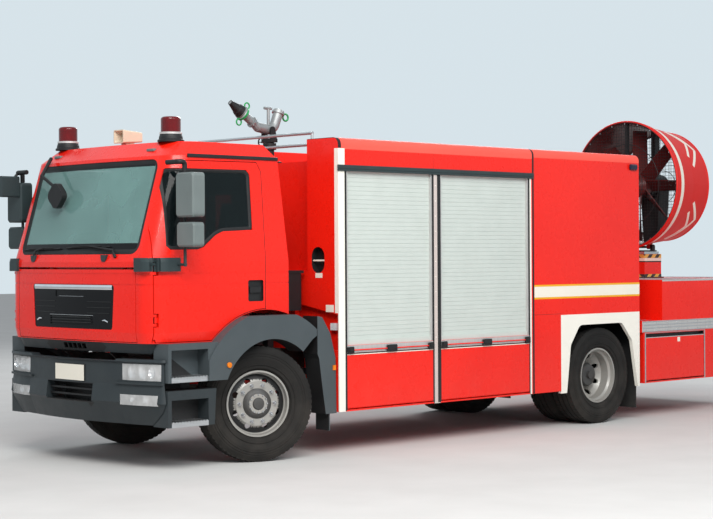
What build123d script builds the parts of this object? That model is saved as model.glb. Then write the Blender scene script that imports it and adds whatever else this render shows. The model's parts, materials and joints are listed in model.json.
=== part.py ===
from build123d import *
import math
import os

# Two-axle fire truck with side lockers, a tank body, a rear deck and a large swivelling fan.
# Millimetres: +X forward, +Y to the vehicle's left, +Z up. The origin is on the ground, below the middle
# of the overall length and on the centre plane. Lengths along the vehicle are given from the front axle
# and turned into X by at().

# Driving dimensions
WHEELBASE = 4725
FRONT_OVERHANG = 1370
REAR_OVERHANG = 3275
TYRE_R = 522
TYRE_W = 290
RIM_R = 298
FRONT_WHEEL_Y = 1006
TWIN_INNER_Y = 740
TWIN_OUTER_Y = 1062
KINGPIN_Y = 880
REST_STEER = -20
CAB_W = 2240
CAB_FLOOR_Z = 1100
CAB_ROOF_Z = 2850
WAIST_Z = 1800
SCREEN_TOP_Z = 2720
CAB_BACK = -280
CAB_WALL = 30
BODY_W = 2500
BODY_TOP_Z = 2940
BODY_DECK_Z = BODY_TOP_Z - 195
BODY_BOTTOM_Z = 395
BODY_FRONT = -786
BODY_REAR = -5384
MODULE_JOINT = -3576
DECK_TOP_Z = 1545
BAND_Z = 1090
DECK_BOX_FRONT = -5810
FRAME_TOP_Z = 960
FRAME_H = 260
FRAME_HALF_W = 430
FAN_AXIS = -7120
FAN_Z = 2680
FAN_IN_R = 780
FAN_OUT_R = 675
FAN_IN_X = 335
FAN_OUT_X = -455
GAP = 6
FIT = 0.3
SEAM = 0.3

FRONT_AXLE_X = (WHEELBASE + FRONT_OVERHANG + REAR_OVERHANG) / 2 - FRONT_OVERHANG
AXLE_Z = TYRE_R
REAR_AXLE = -WHEELBASE
TAIL = -WHEELBASE - REAR_OVERHANG
HALF_BODY = BODY_W / 2
HALF_CAB = CAB_W / 2


def at(distance):
    """X of a place given by its distance ahead of the front axle."""
    return FRONT_AXLE_X + distance


def block(d0, d1, y0, y1, z0, z1):
    """Box between two distances along the vehicle, two Y and two Z."""
    size = (abs(d1 - d0), abs(y1 - y0), abs(z1 - z0))
    return Pos((at(d0) + at(d1)) / 2, (y0 + y1) / 2, (z0 + z1) / 2) * Box(*size)


def side_face(points):
    """Face in the XZ plane from (distance, z) corners."""
    return make_face(Polyline([(at(d), 0, z) for d, z in points], close=True))


def side_prism(points, y0, y1):
    """Side-view outline extruded from y0 to y1."""
    face = Pos(0, min(y0, y1), 0) * side_face(points)
    return extrude(face, amount=abs(y1 - y0), dir=(0, 1, 0))


def plan_prism(points, z0, z1):
    """Plan-view outline of (distance, y) corners extruded from z0 to z1."""
    face = make_face(Polyline([(at(d), y, z0) for d, y in points], close=True))
    return extrude(face, amount=z1 - z0, dir=(0, 0, 1))


def section_prism(points, d0, d1):
    """Cross-section outline of (y, z) corners extruded from d0 to d1."""
    face = make_face(Polyline([(at(min(d0, d1)), y, z) for y, z in points], close=True))
    return extrude(face, amount=abs(d1 - d0), dir=(1, 0, 0))


def rod_x(d0, d1, y, z, r):
    return Pos((at(d0) + at(d1)) / 2, y, z) * Rot(0, 90, 0) * Cylinder(r, abs(d1 - d0))


def rod_y(d, y0, y1, z, r):
    return Pos(at(d), (y0 + y1) / 2, z) * Rot(90, 0, 0) * Cylinder(r, abs(y1 - y0))


def rod_z(d, y, z0, z1, r):
    return Pos(at(d), y, (z0 + z1) / 2) * Cylinder(r, abs(z1 - z0))


def both_sides(solid):
    """The piece and its mirror image across the centre plane."""
    return [solid, mirror(solid, about=Plane.XZ)]


def joined(pieces):
    """One solid from pieces that touch or overlap."""
    result = pieces[0]
    for piece in pieces[1:]:
        result = result + piece
    return result


def save(name, pieces):
    """Writes one node from one or more solids."""
    solids = []
    for piece in pieces if isinstance(pieces, list) else [pieces]:
        solids.extend(piece.solids())
    export_step(Compound(children=solids) if len(solids) > 1 else solids[0], f"parts/{name}.step")
    return solids


# Chassis frame: two channel rails, tubular cross members, air tanks and the cab's tilt pins

RAIL_T = 10
RAIL_FLANGE = 80
FRAME_FRONT = 1060
FRAME_END = -7850
CROSS_MEMBERS = (900, -1620, -2600, -3900, -5650, FRAME_END + 60)
CROSS_R = 45
TANK_R = 130
TILT_D = 1200
TILT_Z = 1040
TILT_Y = 390
TILT_LUG = 40
TILT_PIN_R = 25
INTAKE_D = (-440, -740)
INTAKE_Y = (230, 800)
INTAKE_Z = (1330, 1680)


def frame_rails():
    """Two channel rails, each with its tilt arm, boss and pin for the cab."""
    z0 = FRAME_TOP_Z - FRAME_H
    inner = FRAME_HALF_W - RAIL_FLANGE
    rail = block(FRAME_END, FRAME_FRONT, inner, FRAME_HALF_W, z0, FRAME_TOP_Z)
    hollow = block(FRAME_END - 5, FRAME_FRONT + 5, inner - 5, FRAME_HALF_W - RAIL_T, z0 + RAIL_T, FRAME_TOP_Z - RAIL_T)
    y = (inner, TILT_Y - TILT_LUG / 2 - 4)
    arm = side_prism(((FRAME_FRONT - 110, FRAME_TOP_Z - 40), (FRAME_FRONT - 2, FRAME_TOP_Z - 40), (TILT_D - 20, TILT_Z - 30),
                      (TILT_D - 20, TILT_Z + 25), (FRAME_FRONT - 60, FRAME_TOP_Z + 30), (FRAME_FRONT - 110, FRAME_TOP_Z)), *y)
    boss = rod_y(TILT_D, *y, TILT_Z, 34)
    pin = rod_y(TILT_D, inner, TILT_Y + TILT_LUG / 2 + 8, TILT_Z, TILT_PIN_R)
    return both_sides(joined([rail - hollow, arm, boss, pin]))


def cross_members():
    """Round tubes between the webs of the rails."""
    web = FRAME_HALF_W - RAIL_T
    return [rod_y(d, -web, web, FRAME_TOP_Z - FRAME_H / 2, CROSS_R) for d in CROSS_MEMBERS]


def air_intake():
    """Air filter box behind the cab on two legs from the rails."""
    box = block(*INTAKE_D, *INTAKE_Y, *INTAKE_Z)
    box = fillet(box.edges().filter_by(Axis.Z), 30)
    lid = block(INTAKE_D[0] + 8, INTAKE_D[1] - 8, INTAKE_Y[0] - 8, INTAKE_Y[1] + 8, INTAKE_Z[1], INTAKE_Z[1] + 26)
    legs = [block(d - 35, d + 35, FRAME_HALF_W - RAIL_FLANGE + 10, FRAME_HALF_W, FRAME_TOP_Z, INTAKE_Z[0] + 5)
            for d in (INTAKE_D[0] - 80, INTAKE_D[1] + 80)]
    return joined([box, lid] + legs)


def air_tanks():
    """Two air reservoirs slung outside the rails behind the cab."""
    tank = rod_x(-3450, -2750, FRAME_HALF_W + TANK_R + 20, FRAME_TOP_Z - FRAME_H + 40, TANK_R)
    tank = fillet(tank.edges().filter_by(GeomType.CIRCLE), 40)
    strap = block(-3150, -3050, FRAME_HALF_W, FRAME_HALF_W + 60, FRAME_TOP_Z - FRAME_H + 10, FRAME_TOP_Z - FRAME_H + 70)
    return both_sides(tank + strap)


# Axles, knuckles and springs

SPRING_Y = (FRAME_HALF_W - RAIL_FLANGE + FRAME_HALF_W) / 2
SPRING_W = 76
EYE_R = 48
EYE_H = 150
PIN_R = 24
PIN_H = 300
EAR_H = 60
SPINDLE_R = 42
BEAM_DROP = 110


def leaf_spring(centre, half_length, z_low, z_high):
    """Three stacked leaves: each a gently arched bar, the lower ones shorter."""
    leaf_t = (z_high - z_low) / 3
    bars = []
    for i, share in enumerate((1.0, 0.72, 0.42)):
        length = half_length * share
        top = z_high - i * leaf_t
        bars.append(block(centre - length, centre + length, SPRING_Y - SPRING_W / 2, SPRING_Y + SPRING_W / 2,
                          top - leaf_t, top))
    return joined(bars)


def spring_set(centre, half_length, z_low, z_high):
    """A leaf spring with a hanger at each end up to the rail."""
    spring = leaf_spring(centre, half_length, z_low, z_high)
    hangers = [block(centre + s * half_length - 35, centre + s * half_length + 35,
                     SPRING_Y - SPRING_W / 2, SPRING_Y + SPRING_W / 2, z_high, FRAME_TOP_Z - FRAME_H - SEAM)
               for s in (-1, 1)]
    return joined([spring] + hangers)


FRONT_PAD_Z = AXLE_Z - BEAM_DROP + 90
FRONT_SPRING_Z = (FRONT_PAD_Z + SEAM, FRONT_PAD_Z + 90)
REAR_TUBE_R = 85
REAR_SPRING_Z = (AXLE_Z + REAR_TUBE_R + 10 + SEAM, FRAME_TOP_Z - FRAME_H - 20)


def front_axle():
    """Dropped I-beam with an eye and a kingpin at each end."""
    beam_z = AXLE_Z - BEAM_DROP
    beam = block(-45, 45, -560, 560, beam_z - 55, beam_z + 55)
    beam = beam - block(15, 50, -540, 540, beam_z - 35, beam_z + 35) - block(-50, -15, -540, 540, beam_z - 35, beam_z + 35)
    pieces = [beam]
    for s in (-1, 1):
        arm = make_face(Polyline([(at(0), s * 540, beam_z - 55), (at(0), s * 540, beam_z + 55),
                                  (at(0), s * KINGPIN_Y, AXLE_Z + 50), (at(0), s * KINGPIN_Y, AXLE_Z - 50)], close=True))
        pieces.append(extrude(arm, amount=40, dir=(1, 0, 0), both=True))
        pieces.append(rod_z(0, s * KINGPIN_Y, AXLE_Z - EYE_H / 2, AXLE_Z + EYE_H / 2, EYE_R))
        pieces.append(rod_z(0, s * KINGPIN_Y, AXLE_Z - PIN_H / 2, AXLE_Z + PIN_H / 2, PIN_R))
        pad = block(-70, 70, s * (SPRING_Y - 45), s * (SPRING_Y + 45), beam_z, FRONT_PAD_Z)
        pieces.append(pad)
    return joined(pieces)


def rear_axle():
    """Tube with the final drive's banjo and spring seats."""
    d = REAR_AXLE
    tube = rod_y(d, -600, 600, AXLE_Z, REAR_TUBE_R)
    spindle = rod_y(d, -TWIN_OUTER_Y - 20, TWIN_OUTER_Y + 20, AXLE_Z, SPINDLE_R)
    banjo = Pos(at(d), 0, AXLE_Z) * Sphere(210)
    nose = rod_x(d + 150, d + 360, 0, AXLE_Z + 20, 90)
    pieces = [tube, spindle, banjo, nose]
    for s in (-1, 1):
        pieces.append(block(d - 75, d + 75, s * (SPRING_Y - 45), s * (SPRING_Y + 45), AXLE_Z, AXLE_Z + REAR_TUBE_R + 10))
    return joined(pieces)


def leaf_springs():
    front = spring_set(0, 700, *FRONT_SPRING_Z)
    rear = spring_set(REAR_AXLE, 780, *REAR_SPRING_Z)
    return both_sides(front) + both_sides(rear)


def knuckle(side):
    """Steering knuckle: two ears round the kingpin, a web and the wheel's spindle."""
    y = side * KINGPIN_Y
    ears = []
    for s in (-1, 1):
        z0 = AXLE_Z + s * (EYE_H / 2 + SEAM)
        z1 = z0 + s * EAR_H
        ears.append(rod_z(0, y, z0, z1, EYE_R))
        ears.append(block(-40, 40, y, y + side * 90, z0, z1))
    web = block(-40, 40, y + side * 60, y + side * 100, AXLE_Z - EYE_H / 2 - EAR_H, AXLE_Z + EYE_H / 2 + EAR_H)
    spindle = rod_y(0, y + side * 80, side * (FRONT_WHEEL_Y + 105), AXLE_Z, SPINDLE_R)
    body = joined(ears + [web, spindle])
    body = body - rod_z(0, y, AXLE_Z - PIN_H, AXLE_Z + PIN_H, PIN_R + FIT)
    return turned(body, side)


def turned(solid, side):
    """A front wheel piece turned about its kingpin to the angle at rest."""
    pivot = Pos(at(0), side * KINGPIN_Y, 0)
    return pivot * Rot(0, 0, REST_STEER) * pivot.inverse() * solid


# Wheels

RIM_INNER_R = 255
RIM_HALF_W = 115
DISC_T = 14
BEAD_R = 286
HUB_R = 110


def revolved_y(points, d, y, z):
    """Ring from an (offset along Y, radius) outline turned about an axis along Y."""
    face = make_face(Polyline([(o, r, 0) for o, r in points], close=True))
    ring = revolve(face, axis=Axis.X, revolution_arc=360)
    return Pos(at(d), y, z) * Rot(0, 0, 90) * ring


def tyre(d, y, z=AXLE_Z):
    """Tyre with a crowned tread, round shoulders and two circumferential grooves; beads sit on the rim."""
    w = TYRE_W / 2
    tread_w = w - 22
    bead = RIM_HALF_W - 14 - SEAM
    shoulder = [(-bead, BEAD_R + SEAM), (-bead, RIM_R + 1), (-w + 14, RIM_R + 22), (-w, TYRE_R - 115), (-w + 5, TYRE_R - 50),
                (-tread_w, TYRE_R - 10)]
    crown = []
    for groove in (-62, 0, 62):
        crown += [(groove - 6, TYRE_R), (groove - 6, TYRE_R - 14), (groove + 6, TYRE_R - 14), (groove + 6, TYRE_R)]
    outline = shoulder + crown + [(-o, r) for o, r in reversed(shoulder)]
    return revolved_y(outline, d, y, z)


def disc_wheel(d, y, side, dish, bore_r, z=AXLE_Z):
    """Steel rim with a disc set off towards the side, hand holes and a hub with a bore."""
    w = RIM_HALF_W
    t = 10
    rim = [(-w, RIM_R), (-w, RIM_R - t - 6), (-w + 40, BEAD_R - t - 2), (-w + 60, RIM_INNER_R), (w - 60, RIM_INNER_R),
           (w - 40, BEAD_R - t - 2), (w, RIM_R - t - 6), (w, RIM_R), (w - 10, RIM_R), (w - 14, BEAD_R),
           (w - 45, BEAD_R), (w - 60, RIM_INNER_R + t), (-w + 60, RIM_INNER_R + t), (-w + 45, BEAD_R), (-w + 14, BEAD_R),
           (-w + 10, RIM_R)]
    barrel = revolved_y(rim, d, y, z)
    k = math.copysign(1, dish) * side
    o = side * dish
    seat = k * (RIM_HALF_W - 70)
    half = o - (o - seat) * 0.55
    disc = [(o, bore_r), (o, 175), (half, 222), (seat + k * 7, RIM_INNER_R + 2), (seat - k * 7, RIM_INNER_R + 2),
            (half - k * DISC_T, 214), (o - k * DISC_T, 168), (o - k * DISC_T, bore_r)]
    wheel = barrel + revolved_y(disc, d, y, z)
    holes = []
    for i in range(8):
        a = math.radians(i * 45 + 22.5)
        holes.append(Pos(at(d) + 212 * math.cos(a), y + half, z + 212 * math.sin(a)) * Rot(90, 0, 0)
                     * Cylinder(28, 120))
    return wheel - holes


FRONT_DISH = 85


def front_wheel(side):
    """Front tyre and rim, with the hub standing out of the disc."""
    y = side * FRONT_WHEEL_Y
    o = side * FRONT_DISH
    bore = SPINDLE_R + FIT
    rim = disc_wheel(0, y, side, FRONT_DISH, bore)
    hub = revolved_y([(o - side * 60, bore), (o - side * 60, 95), (o - side * 5, HUB_R), (o + side * 12, HUB_R), (o + side * 40, 85),
                      (o + side * 40, bore)], 0, y, AXLE_Z)
    return turned(tyre(0, y), side), turned(rim + hub, side)


def rear_wheels(side):
    """Twin tyres on two rims bolted face to face, with one hub through both."""
    reach = (TWIN_OUTER_Y - TWIN_INNER_Y) / 2
    middle = side * (TWIN_OUTER_Y + TWIN_INNER_Y) / 2
    bore = SPINDLE_R + FIT
    tyres = [tyre(REAR_AXLE, side * y) for y in (TWIN_INNER_Y, TWIN_OUTER_Y)]
    outer = disc_wheel(REAR_AXLE, side * TWIN_OUTER_Y, side, -reach, bore)
    inner = disc_wheel(REAR_AXLE, side * TWIN_INNER_Y, side, reach, bore)
    hub = revolved_y([(-side * 90, bore), (-side * 90, 115), (-side * 10, 130), (side * 120, 130), (side * 150, 112),
                      (side * 150, bore)], REAR_AXLE, middle, AXLE_Z)
    return tyres, joined([outer, inner, hub])


# Engine and driveline

def engine():
    """The engine as one plain block between the rails."""
    return block(-650, 560, -330, 330, 700, 1290)


def driveline():
    """Gearbox and propeller shaft from the engine to the rear axle."""
    nose_end = REAR_AXLE + 360 + SEAM
    gearbox = block(-1500, -650 - SEAM, -210, 210, 640, 930)
    gearbox = chamfer(gearbox.edges().filter_by(Axis.X), 60)
    shaft = rod_x(nose_end + 60, -1500, 0, AXLE_Z + 130, 55)
    flange = rod_x(nose_end, nose_end + 60, 0, AXLE_Z + 20, 100)
    link = hull_rod((nose_end + 60, AXLE_Z + 20), (nose_end + 260, AXLE_Z + 130), 60)
    return joined([gearbox, shaft, flange, link])


def hull_rod(a, b, r):
    """Round rod in the centre plane between two (distance, z) points, with ball ends."""
    pa = Vector(at(a[0]), 0, a[1])
    pb = Vector(at(b[0]), 0, b[1])
    bar = Plane(origin=(pa + pb) / 2, z_dir=pb - pa) * Cylinder(r, (pb - pa).length)
    return bar + Pos(*pa) * Sphere(r) + Pos(*pb) * Sphere(r)


# Cab: plan sections joined by straight walls

CAB_FRONT = 1325
SCREEN_RAKE = 270
ROOF_INSET = 90
ROOF_RUN = 150
CORNER_RUN = 190
BOW = 50
PILLAR_LEAN = 95
SIDE_LEAN = 40
SKIRT_Z = 1190
SKIRT_IN = 14
CAB_SECTIONS = (
    # height, front, half width, back
    (CAB_FLOOR_Z, CAB_FRONT - SKIRT_IN, HALF_CAB - SKIRT_IN, CAB_BACK),
    (SKIRT_Z, CAB_FRONT, HALF_CAB, CAB_BACK),
    (WAIST_Z, CAB_FRONT, HALF_CAB, CAB_BACK),
    (SCREEN_TOP_Z, CAB_FRONT - SCREEN_RAKE, HALF_CAB - SIDE_LEAN, CAB_BACK + PILLAR_LEAN),
    (CAB_ROOF_Z, CAB_FRONT - SCREEN_RAKE - ROOF_RUN, HALF_CAB - SIDE_LEAN - ROOF_INSET, CAB_BACK + 2 * PILLAR_LEAN),
)


def cab_outline(front, half_w, back, z, inset=0.0):
    """Plan outline at one height: bowed front, round corners, straight sides."""
    f = front - inset
    y = half_w - inset
    b = back + inset
    front_y = y - 210
    mid = (at(f - BOW - CORNER_RUN * 0.36), y - CORNER_RUN * 0.28)
    nose = ThreePointArc((at(f - BOW), -front_y, z), (at(f), 0, z), (at(f - BOW), front_y, z))
    left = ThreePointArc((at(f - BOW), front_y, z), (*mid, z), (at(f - BOW - CORNER_RUN), y, z))
    side = Line((at(f - BOW - CORNER_RUN), y, z), (at(b), y, z))
    rear = Line((at(b), y, z), (at(b), -y, z))
    other = Line((at(b), -y, z), (at(f - BOW - CORNER_RUN), -y, z))
    right = ThreePointArc((at(f - BOW - CORNER_RUN), -y, z), (mid[0], -mid[1], z), (at(f - BOW), -front_y, z))
    return make_face(Wire([nose, left, side, rear, other, right]))


def cab_solid(inset):
    """The cab's outside, or the same form set in by a wall thickness."""
    last = len(CAB_SECTIONS) - 1
    outlines = []
    for i, (z, front, half_w, back) in enumerate(CAB_SECTIONS):
        height = z + inset if i == 0 else z - inset if i == last else z
        outlines.append(cab_outline(front, half_w, back, height, inset))
    return joined([loft([low, high], ruled=True) for low, high in zip(outlines, outlines[1:])])


STEP_Y = (1000, 1205)
STEP_D = (660, 1168)
STEP_GAP_Z = (700, 768)
TREAD_D = (728, 1128)
TREAD_IN = 1060
TREAD_Z = (428, 810)
TOOTH_PITCH = 33
FENDER_R = 840
FENDER_IN_R = 580
FENDER_Y = (1020, 1220)
WELL_R = FENDER_R + SEAM + 40
DOOR_FRONT = 1205
DOOR_REAR = 0
DOOR_OUTLINE = (
    # distance, z
    (DOOR_FRONT, CAB_FLOOR_Z + 12), (DOOR_FRONT, 1840), (1128, 2520), (1040, 2672), (70, 2680), (20, 2600),
    (DOOR_REAR, 1900), (DOOR_REAR, CAB_FLOOR_Z + 12),
)
WINDOW_OUTLINE = (
    # distance, z
    (1100, 1935), (1062, 2560), (1010, 2606), (190, 2612), (150, 2570), (137, 2078), (480, 2062), (560, 2030),
    (700, 1925), (760, 1905), (1060, 1902),
)


def side_region(points, amount, y0, y1):
    """A side-view outline grown by an amount and extruded between two Y."""
    flat = make_face(Polyline([(at(d), z) for d, z in points], close=True))
    if amount:
        flat = offset(flat, amount, kind=Kind.INTERSECTION)
    placed = Plane(origin=(0, max(y0, y1), 0), x_dir=(1, 0, 0), z_dir=(0, -1, 0)) * flat
    return extrude(placed, amount=abs(y1 - y0), dir=(0, -1, 0))


def arch_disc(r, y0, y1):
    return rod_y(0, y0, y1, AXLE_Z, r)


def door_region(amount, y0, y1):
    """The door's outline with its lower rear corner cut round the fender."""
    return side_region(DOOR_OUTLINE, amount, y0, y1) - arch_disc(FENDER_R + 2 * GAP - amount, y0 - 30, y1 + 30)


TUNNEL_HALF_W = 400
TUNNEL_TOP_Z = 1420
FLAP_TOP_Z = 1735
FLAP_BOTTOM_Z = CAB_FLOOR_Z + 2 * GAP
FLAP_HALF_W = 900
FLAP_DEPTH = 190
HINGE_D = DOOR_FRONT - 13
BULKHEAD_D = 1085
HINGE_PIN_R = 8
KNUCKLE_R = 13
FLAP_TOP_GAP = 18
FLAP_LIP_T = 12
FLAP_PIVOT = (1238, 1830)
FLAP_PIVOT_Y = 600
FLAP_ARM_T = 20
ARM_R = (107, 125)
ARM_SWEEP = (-155, -112, -72)
FLAP_PIN_R = 8
DOOR_HINGES = (1300, 1740)
SCREEN_HALF_W = 905
SCREEN_LOW_Z = 1866
SCREEN_HIGH_Z = 2690
GLASS_IN = 14
FLOOR_EDGE_Y = 1048
CREASES = (1694, 1600)
CREASE_H = 7
CREASE_DEPTH = 4
HANDLE_D = (200, 22)
HANDLE_Z = (1440, 1630)
HANDLE_DEPTH = 24
BELT_Z = (1716, 1834)
BELT_T = 38
BELT_D = 985
BELT_FRONT = 1300
BELT_SWING = 49
BELT_CORNER_D = 1264
BELT_CORNER_Y = 908
GLASS_T = 6


def corner_y(d):
    """Y of the cab's outside at a distance on its rounded front corner, below the waist."""
    half = HALF_CAB
    a = Vector(CAB_FRONT - BOW, half - 210)
    b = Vector(CAB_FRONT - BOW - CORNER_RUN * 0.36, half - CORNER_RUN * 0.28)
    c = Vector(CAB_FRONT - BOW - CORNER_RUN, half)
    arc = ThreePointArc(a, b, c)
    centre = arc.arc_center
    return centre.Y + math.sqrt(arc.radius ** 2 - (d - centre.X) ** 2)


def front_region(side_gap, top_gap):
    """The front flap's outline seen from ahead, grown by a gap at the sides and foot and another at the top."""
    return block(CAB_FRONT - BOW - CAB_WALL - 2, CAB_FRONT + 50, -FLAP_HALF_W - side_gap, FLAP_HALF_W + side_gap,
                 FLAP_BOTTOM_Z - side_gap, FLAP_TOP_Z + top_gap)


def screen_region():
    """Prism through the front wall above the waist, with round corners."""
    face = Plane(origin=(at(1500), 0, (SCREEN_LOW_Z + SCREEN_HIGH_Z) / 2), x_dir=(0, 1, 0), z_dir=(1, 0, 0)) \
        * RectangleRounded(2 * SCREEN_HALF_W, SCREEN_HIGH_Z - SCREEN_LOW_Z, 90)
    return extrude(face, amount=-650)


def cab_shell(outer, inner):
    """Hollow cab with its window, door, flap and tunnel openings."""
    shell = outer - inner
    inside = block(CAB_BACK + CAB_WALL / 2, 790, -HALF_CAB + CAB_WALL / 2, HALF_CAB - CAB_WALL / 2, CAB_FLOOR_Z, CAB_ROOF_Z - 900)
    tunnel_cover = block(CAB_BACK + 1, 800, -TUNNEL_HALF_W - 30, TUNNEL_HALF_W + 30, CAB_FLOOR_Z, TUNNEL_TOP_Z + 30)
    bulkhead = block(BULKHEAD_D, BULKHEAD_D + 35, -HALF_CAB + 20, HALF_CAB - 20, CAB_FLOOR_Z + 20, WAIST_Z + 20) & outer
    pieces = [shell, tunnel_cover, bulkhead]
    for s in (-1, 1):
        pieces.append(arch_disc(WELL_R, s * 520, s * (HALF_CAB - CAB_WALL / 2)) & inside)
    shell = joined(pieces)
    for s in (-1, 1):
        y = (s * (HALF_CAB - 160), s * (HALF_CAB + 20))
        shell = shell - arch_disc(FENDER_R + SEAM, s * 560, s * (HALF_CAB + 200))
        shell = shell - door_region(GAP, *sorted(y))
        strip = block(560, DOOR_FRONT, s * (HALF_CAB - 170), s * FLOOR_EDGE_Y, CAB_FLOOR_Z + 2, CAB_FLOOR_Z + CAB_WALL) & outer
        shell = shell + (strip - arch_disc(FENDER_R + SEAM, s * 560, s * HALF_CAB))
    shell = shell - screen_region() - front_region(GAP, FLAP_TOP_GAP) - crease(outer)
    shell = shell - block(CAB_BACK - 100, 765, -TUNNEL_HALF_W, TUNNEL_HALF_W, CAB_FLOOR_Z - 50, TUNNEL_TOP_Z)
    shell = shell - block(CAB_BACK - 50, CAB_BACK + 200, -420, 420, 1980, 2420)
    for s in (-1, 1):
        y = (s * (TILT_Y - TILT_LUG / 2), s * (TILT_Y + TILT_LUG / 2))
        lug = block(TILT_D - 38, TILT_D + 5, *y, TILT_Z, CAB_FLOOR_Z + 20) + rod_y(TILT_D, *y, TILT_Z, 38)
        shell = shell + lug - rod_y(TILT_D, s * (TILT_Y - 60), s * (TILT_Y + 60), TILT_Z, TILT_PIN_R + FIT)
        for z in DOOR_HINGES:
            shell = joined([shell] + hinge_leaves(s, z))
        ear_y = (s * (FLAP_PIVOT_Y + 26), s * (FLAP_PIVOT_Y + 40))
        ear = block(FLAP_PIVOT[0] - 12, FLAP_PIVOT[0] + 40, *ear_y, FLAP_PIVOT[1] - 12, FLAP_PIVOT[1] + 12) & outer
        pin = rod_y(FLAP_PIVOT[0], s * (FLAP_PIVOT_Y - 25), s * (FLAP_PIVOT_Y + 40), FLAP_PIVOT[1], FLAP_PIN_R)
        shell = joined([shell, ear, pin])
    return shell


def hinge_leaves(side, z):
    """The cab's half of one door hinge: a pin held by two leaves on the front pillar."""
    y = side * (corner_y(HINGE_D) - 9)
    pin = rod_z(HINGE_D, y, z - 52, z + 52, HINGE_PIN_R)
    pieces = [pin]
    for z0, z1 in ((z - 52, z - 28), (z + 28, z + 52)):
        leaf = plan_prism(((HINGE_D - 6, y), (HINGE_D + 4, y + side * 6), (HINGE_D + 40, y - side * 20),
                           (HINGE_D + 40, y - side * 60), (HINGE_D + 15, y - side * 30)), z0, z1)
        pieces.append(leaf)
        pieces.append(rod_z(HINGE_D, y, z0, z1, KNUCKLE_R - 2))
    return pieces


def cab_fenders():
    """Dark pieces that tilt with the cab: an arch over each front wheel that runs into the upper entry housing."""
    pieces = []
    for s in (-1, 1):
        y0, y1 = sorted((s * FENDER_Y[0], s * FENDER_Y[1]))
        ring = arch_disc(FENDER_R, y0, y1) - arch_disc(FENDER_IN_R, y0 - 5, y1 + 5)
        ring = ring & block(-535, 900, y0 - 1, y1 + 1, STEP_GAP_Z[1], 1312)
        ring = ring - side_prism(((-600, 700), (-600, 1112), (-535, 1112), (-480, 1080), (0, 640)), y0 - 1, y1 + 1)
        cut = arch_disc(FENDER_R - 60, s * (FENDER_Y[0] - 5), s * (FENDER_Y[1] - 60)) - arch_disc(FENDER_IN_R + 40, -2000, 2000)
        y = (s * STEP_Y[0], s * STEP_Y[1])
        housing = block(480, STEP_D[1] - GAP, *y, STEP_GAP_Z[1], CAB_FLOOR_Z - SEAM) - arch_disc(FENDER_IN_R, min(y) - 5, max(y) + 5)
        recess = block(*TREAD_D, s * TREAD_IN, s * (STEP_Y[1] + 30), STEP_GAP_Z[1] - 5, 1045)
        pieces.append((ring - cut) + housing - recess)
    return pieces


def crease(outer):
    """Two shallow pressed lines round the cab below the waist."""
    shallow = outer - cab_solid(CREASE_DEPTH)
    return [shallow & block(CAB_BACK - 10, CAB_FRONT + 10, -HALF_CAB - 10, HALF_CAB + 10, z, z + CREASE_H) for z in CREASES]


def handle_place(side, depth, shrink=0):
    """Block over the door handle's recess, from the skin inwards."""
    d, z = HANDLE_D, HANDLE_Z
    face = Plane(origin=(at((d[0] + d[1]) / 2), side * (HALF_CAB + 20), (z[0] + z[1]) / 2), x_dir=(1, 0, 0),
                 z_dir=(0, -side, 0)) * RectangleRounded(d[0] - d[1] - 2 * shrink, z[1] - z[0] - 2 * shrink, 18)
    return extrude(face, amount=depth + 20)


def door_pieces(outer, inner, side):
    """Door skin with its window opening, handle recess, pressed lines and two hinge straps."""
    y = sorted((side * (HALF_CAB - 160), side * (HALF_CAB + 20)))
    wall = (outer - inner) & door_region(0, *y)
    wall = wall - block(-50, DOOR_FRONT + 50, side * 900, side * (FLOOR_EDGE_Y + 14), CAB_FLOOR_Z - 5, CAB_FLOOR_Z + CAB_WALL + 4)
    hinge_y = side * (corner_y(HINGE_D) - 9)
    for z in DOOR_HINGES:
        wall = wall - block(HINGE_D - 20, HINGE_D + 60, hinge_y - 70, hinge_y + 70, z - 58, z + 58)
        knuckle_ring = rod_z(HINGE_D, hinge_y, z - 22, z + 22, KNUCKLE_R)
        strap = block(HINGE_D - 24, HINGE_D, hinge_y - side * 12, hinge_y + side * 4, z - 22, z + 22)
        wall = wall + knuckle_ring + strap - rod_z(HINGE_D, hinge_y, z - 60, z + 60, HINGE_PIN_R + FIT)
    wall = wall - side_region(WINDOW_OUTLINE, 0, y[0] - 100, y[1] + 100) - handle_place(side, HANDLE_DEPTH) - crease(outer)
    glass = (cab_solid(GLASS_IN) - cab_solid(GLASS_IN + GLASS_T)) & side_region(WINDOW_OUTLINE, 0, *y)
    return wall, glass


def door_furniture(side):
    """What sits on the door: handle lever in its recess and the cover of the mirror's foot."""
    floor_y = side * (HALF_CAB - HANDLE_DEPTH)
    d0, d1 = HANDLE_D
    z0, z1 = HANDLE_Z
    lever = block(d0 - 24, d1 + 24, floor_y + side * 8, floor_y + side * 19, z0 + 78, z1 - 60)
    foot = block(d1 + 26, d1 + 60, floor_y, floor_y + side * 10, z0 + 90, z1 - 74)
    cover = cab_shell_band(BELT_T, SEAM) & block(HINGE_D + 10, BELT_D, side * 900, side * 1300, *BELT_Z)
    reach = rod_z(HINGE_D, side * (corner_y(HINGE_D) - 9), BELT_Z[0] - 5, BELT_Z[1] + 5, BELT_SWING)
    behind = block(HINGE_D - 5, BELT_D - 5, side * 900, side * 1300, *BELT_Z)
    hinge = rod_z(HINGE_D, side * (corner_y(HINGE_D) - 9), DOOR_HINGES[1] - 56, DOOR_HINGES[1] + 56, 2 * KNUCKLE_R)
    return [joined([lever, foot]), (cover & (reach + behind)) - hinge]


def cab_shell_band(out, inset):
    """Skin round the cab between two distances outside its walls."""
    return cab_solid(-out) - cab_solid(-inset)


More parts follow.
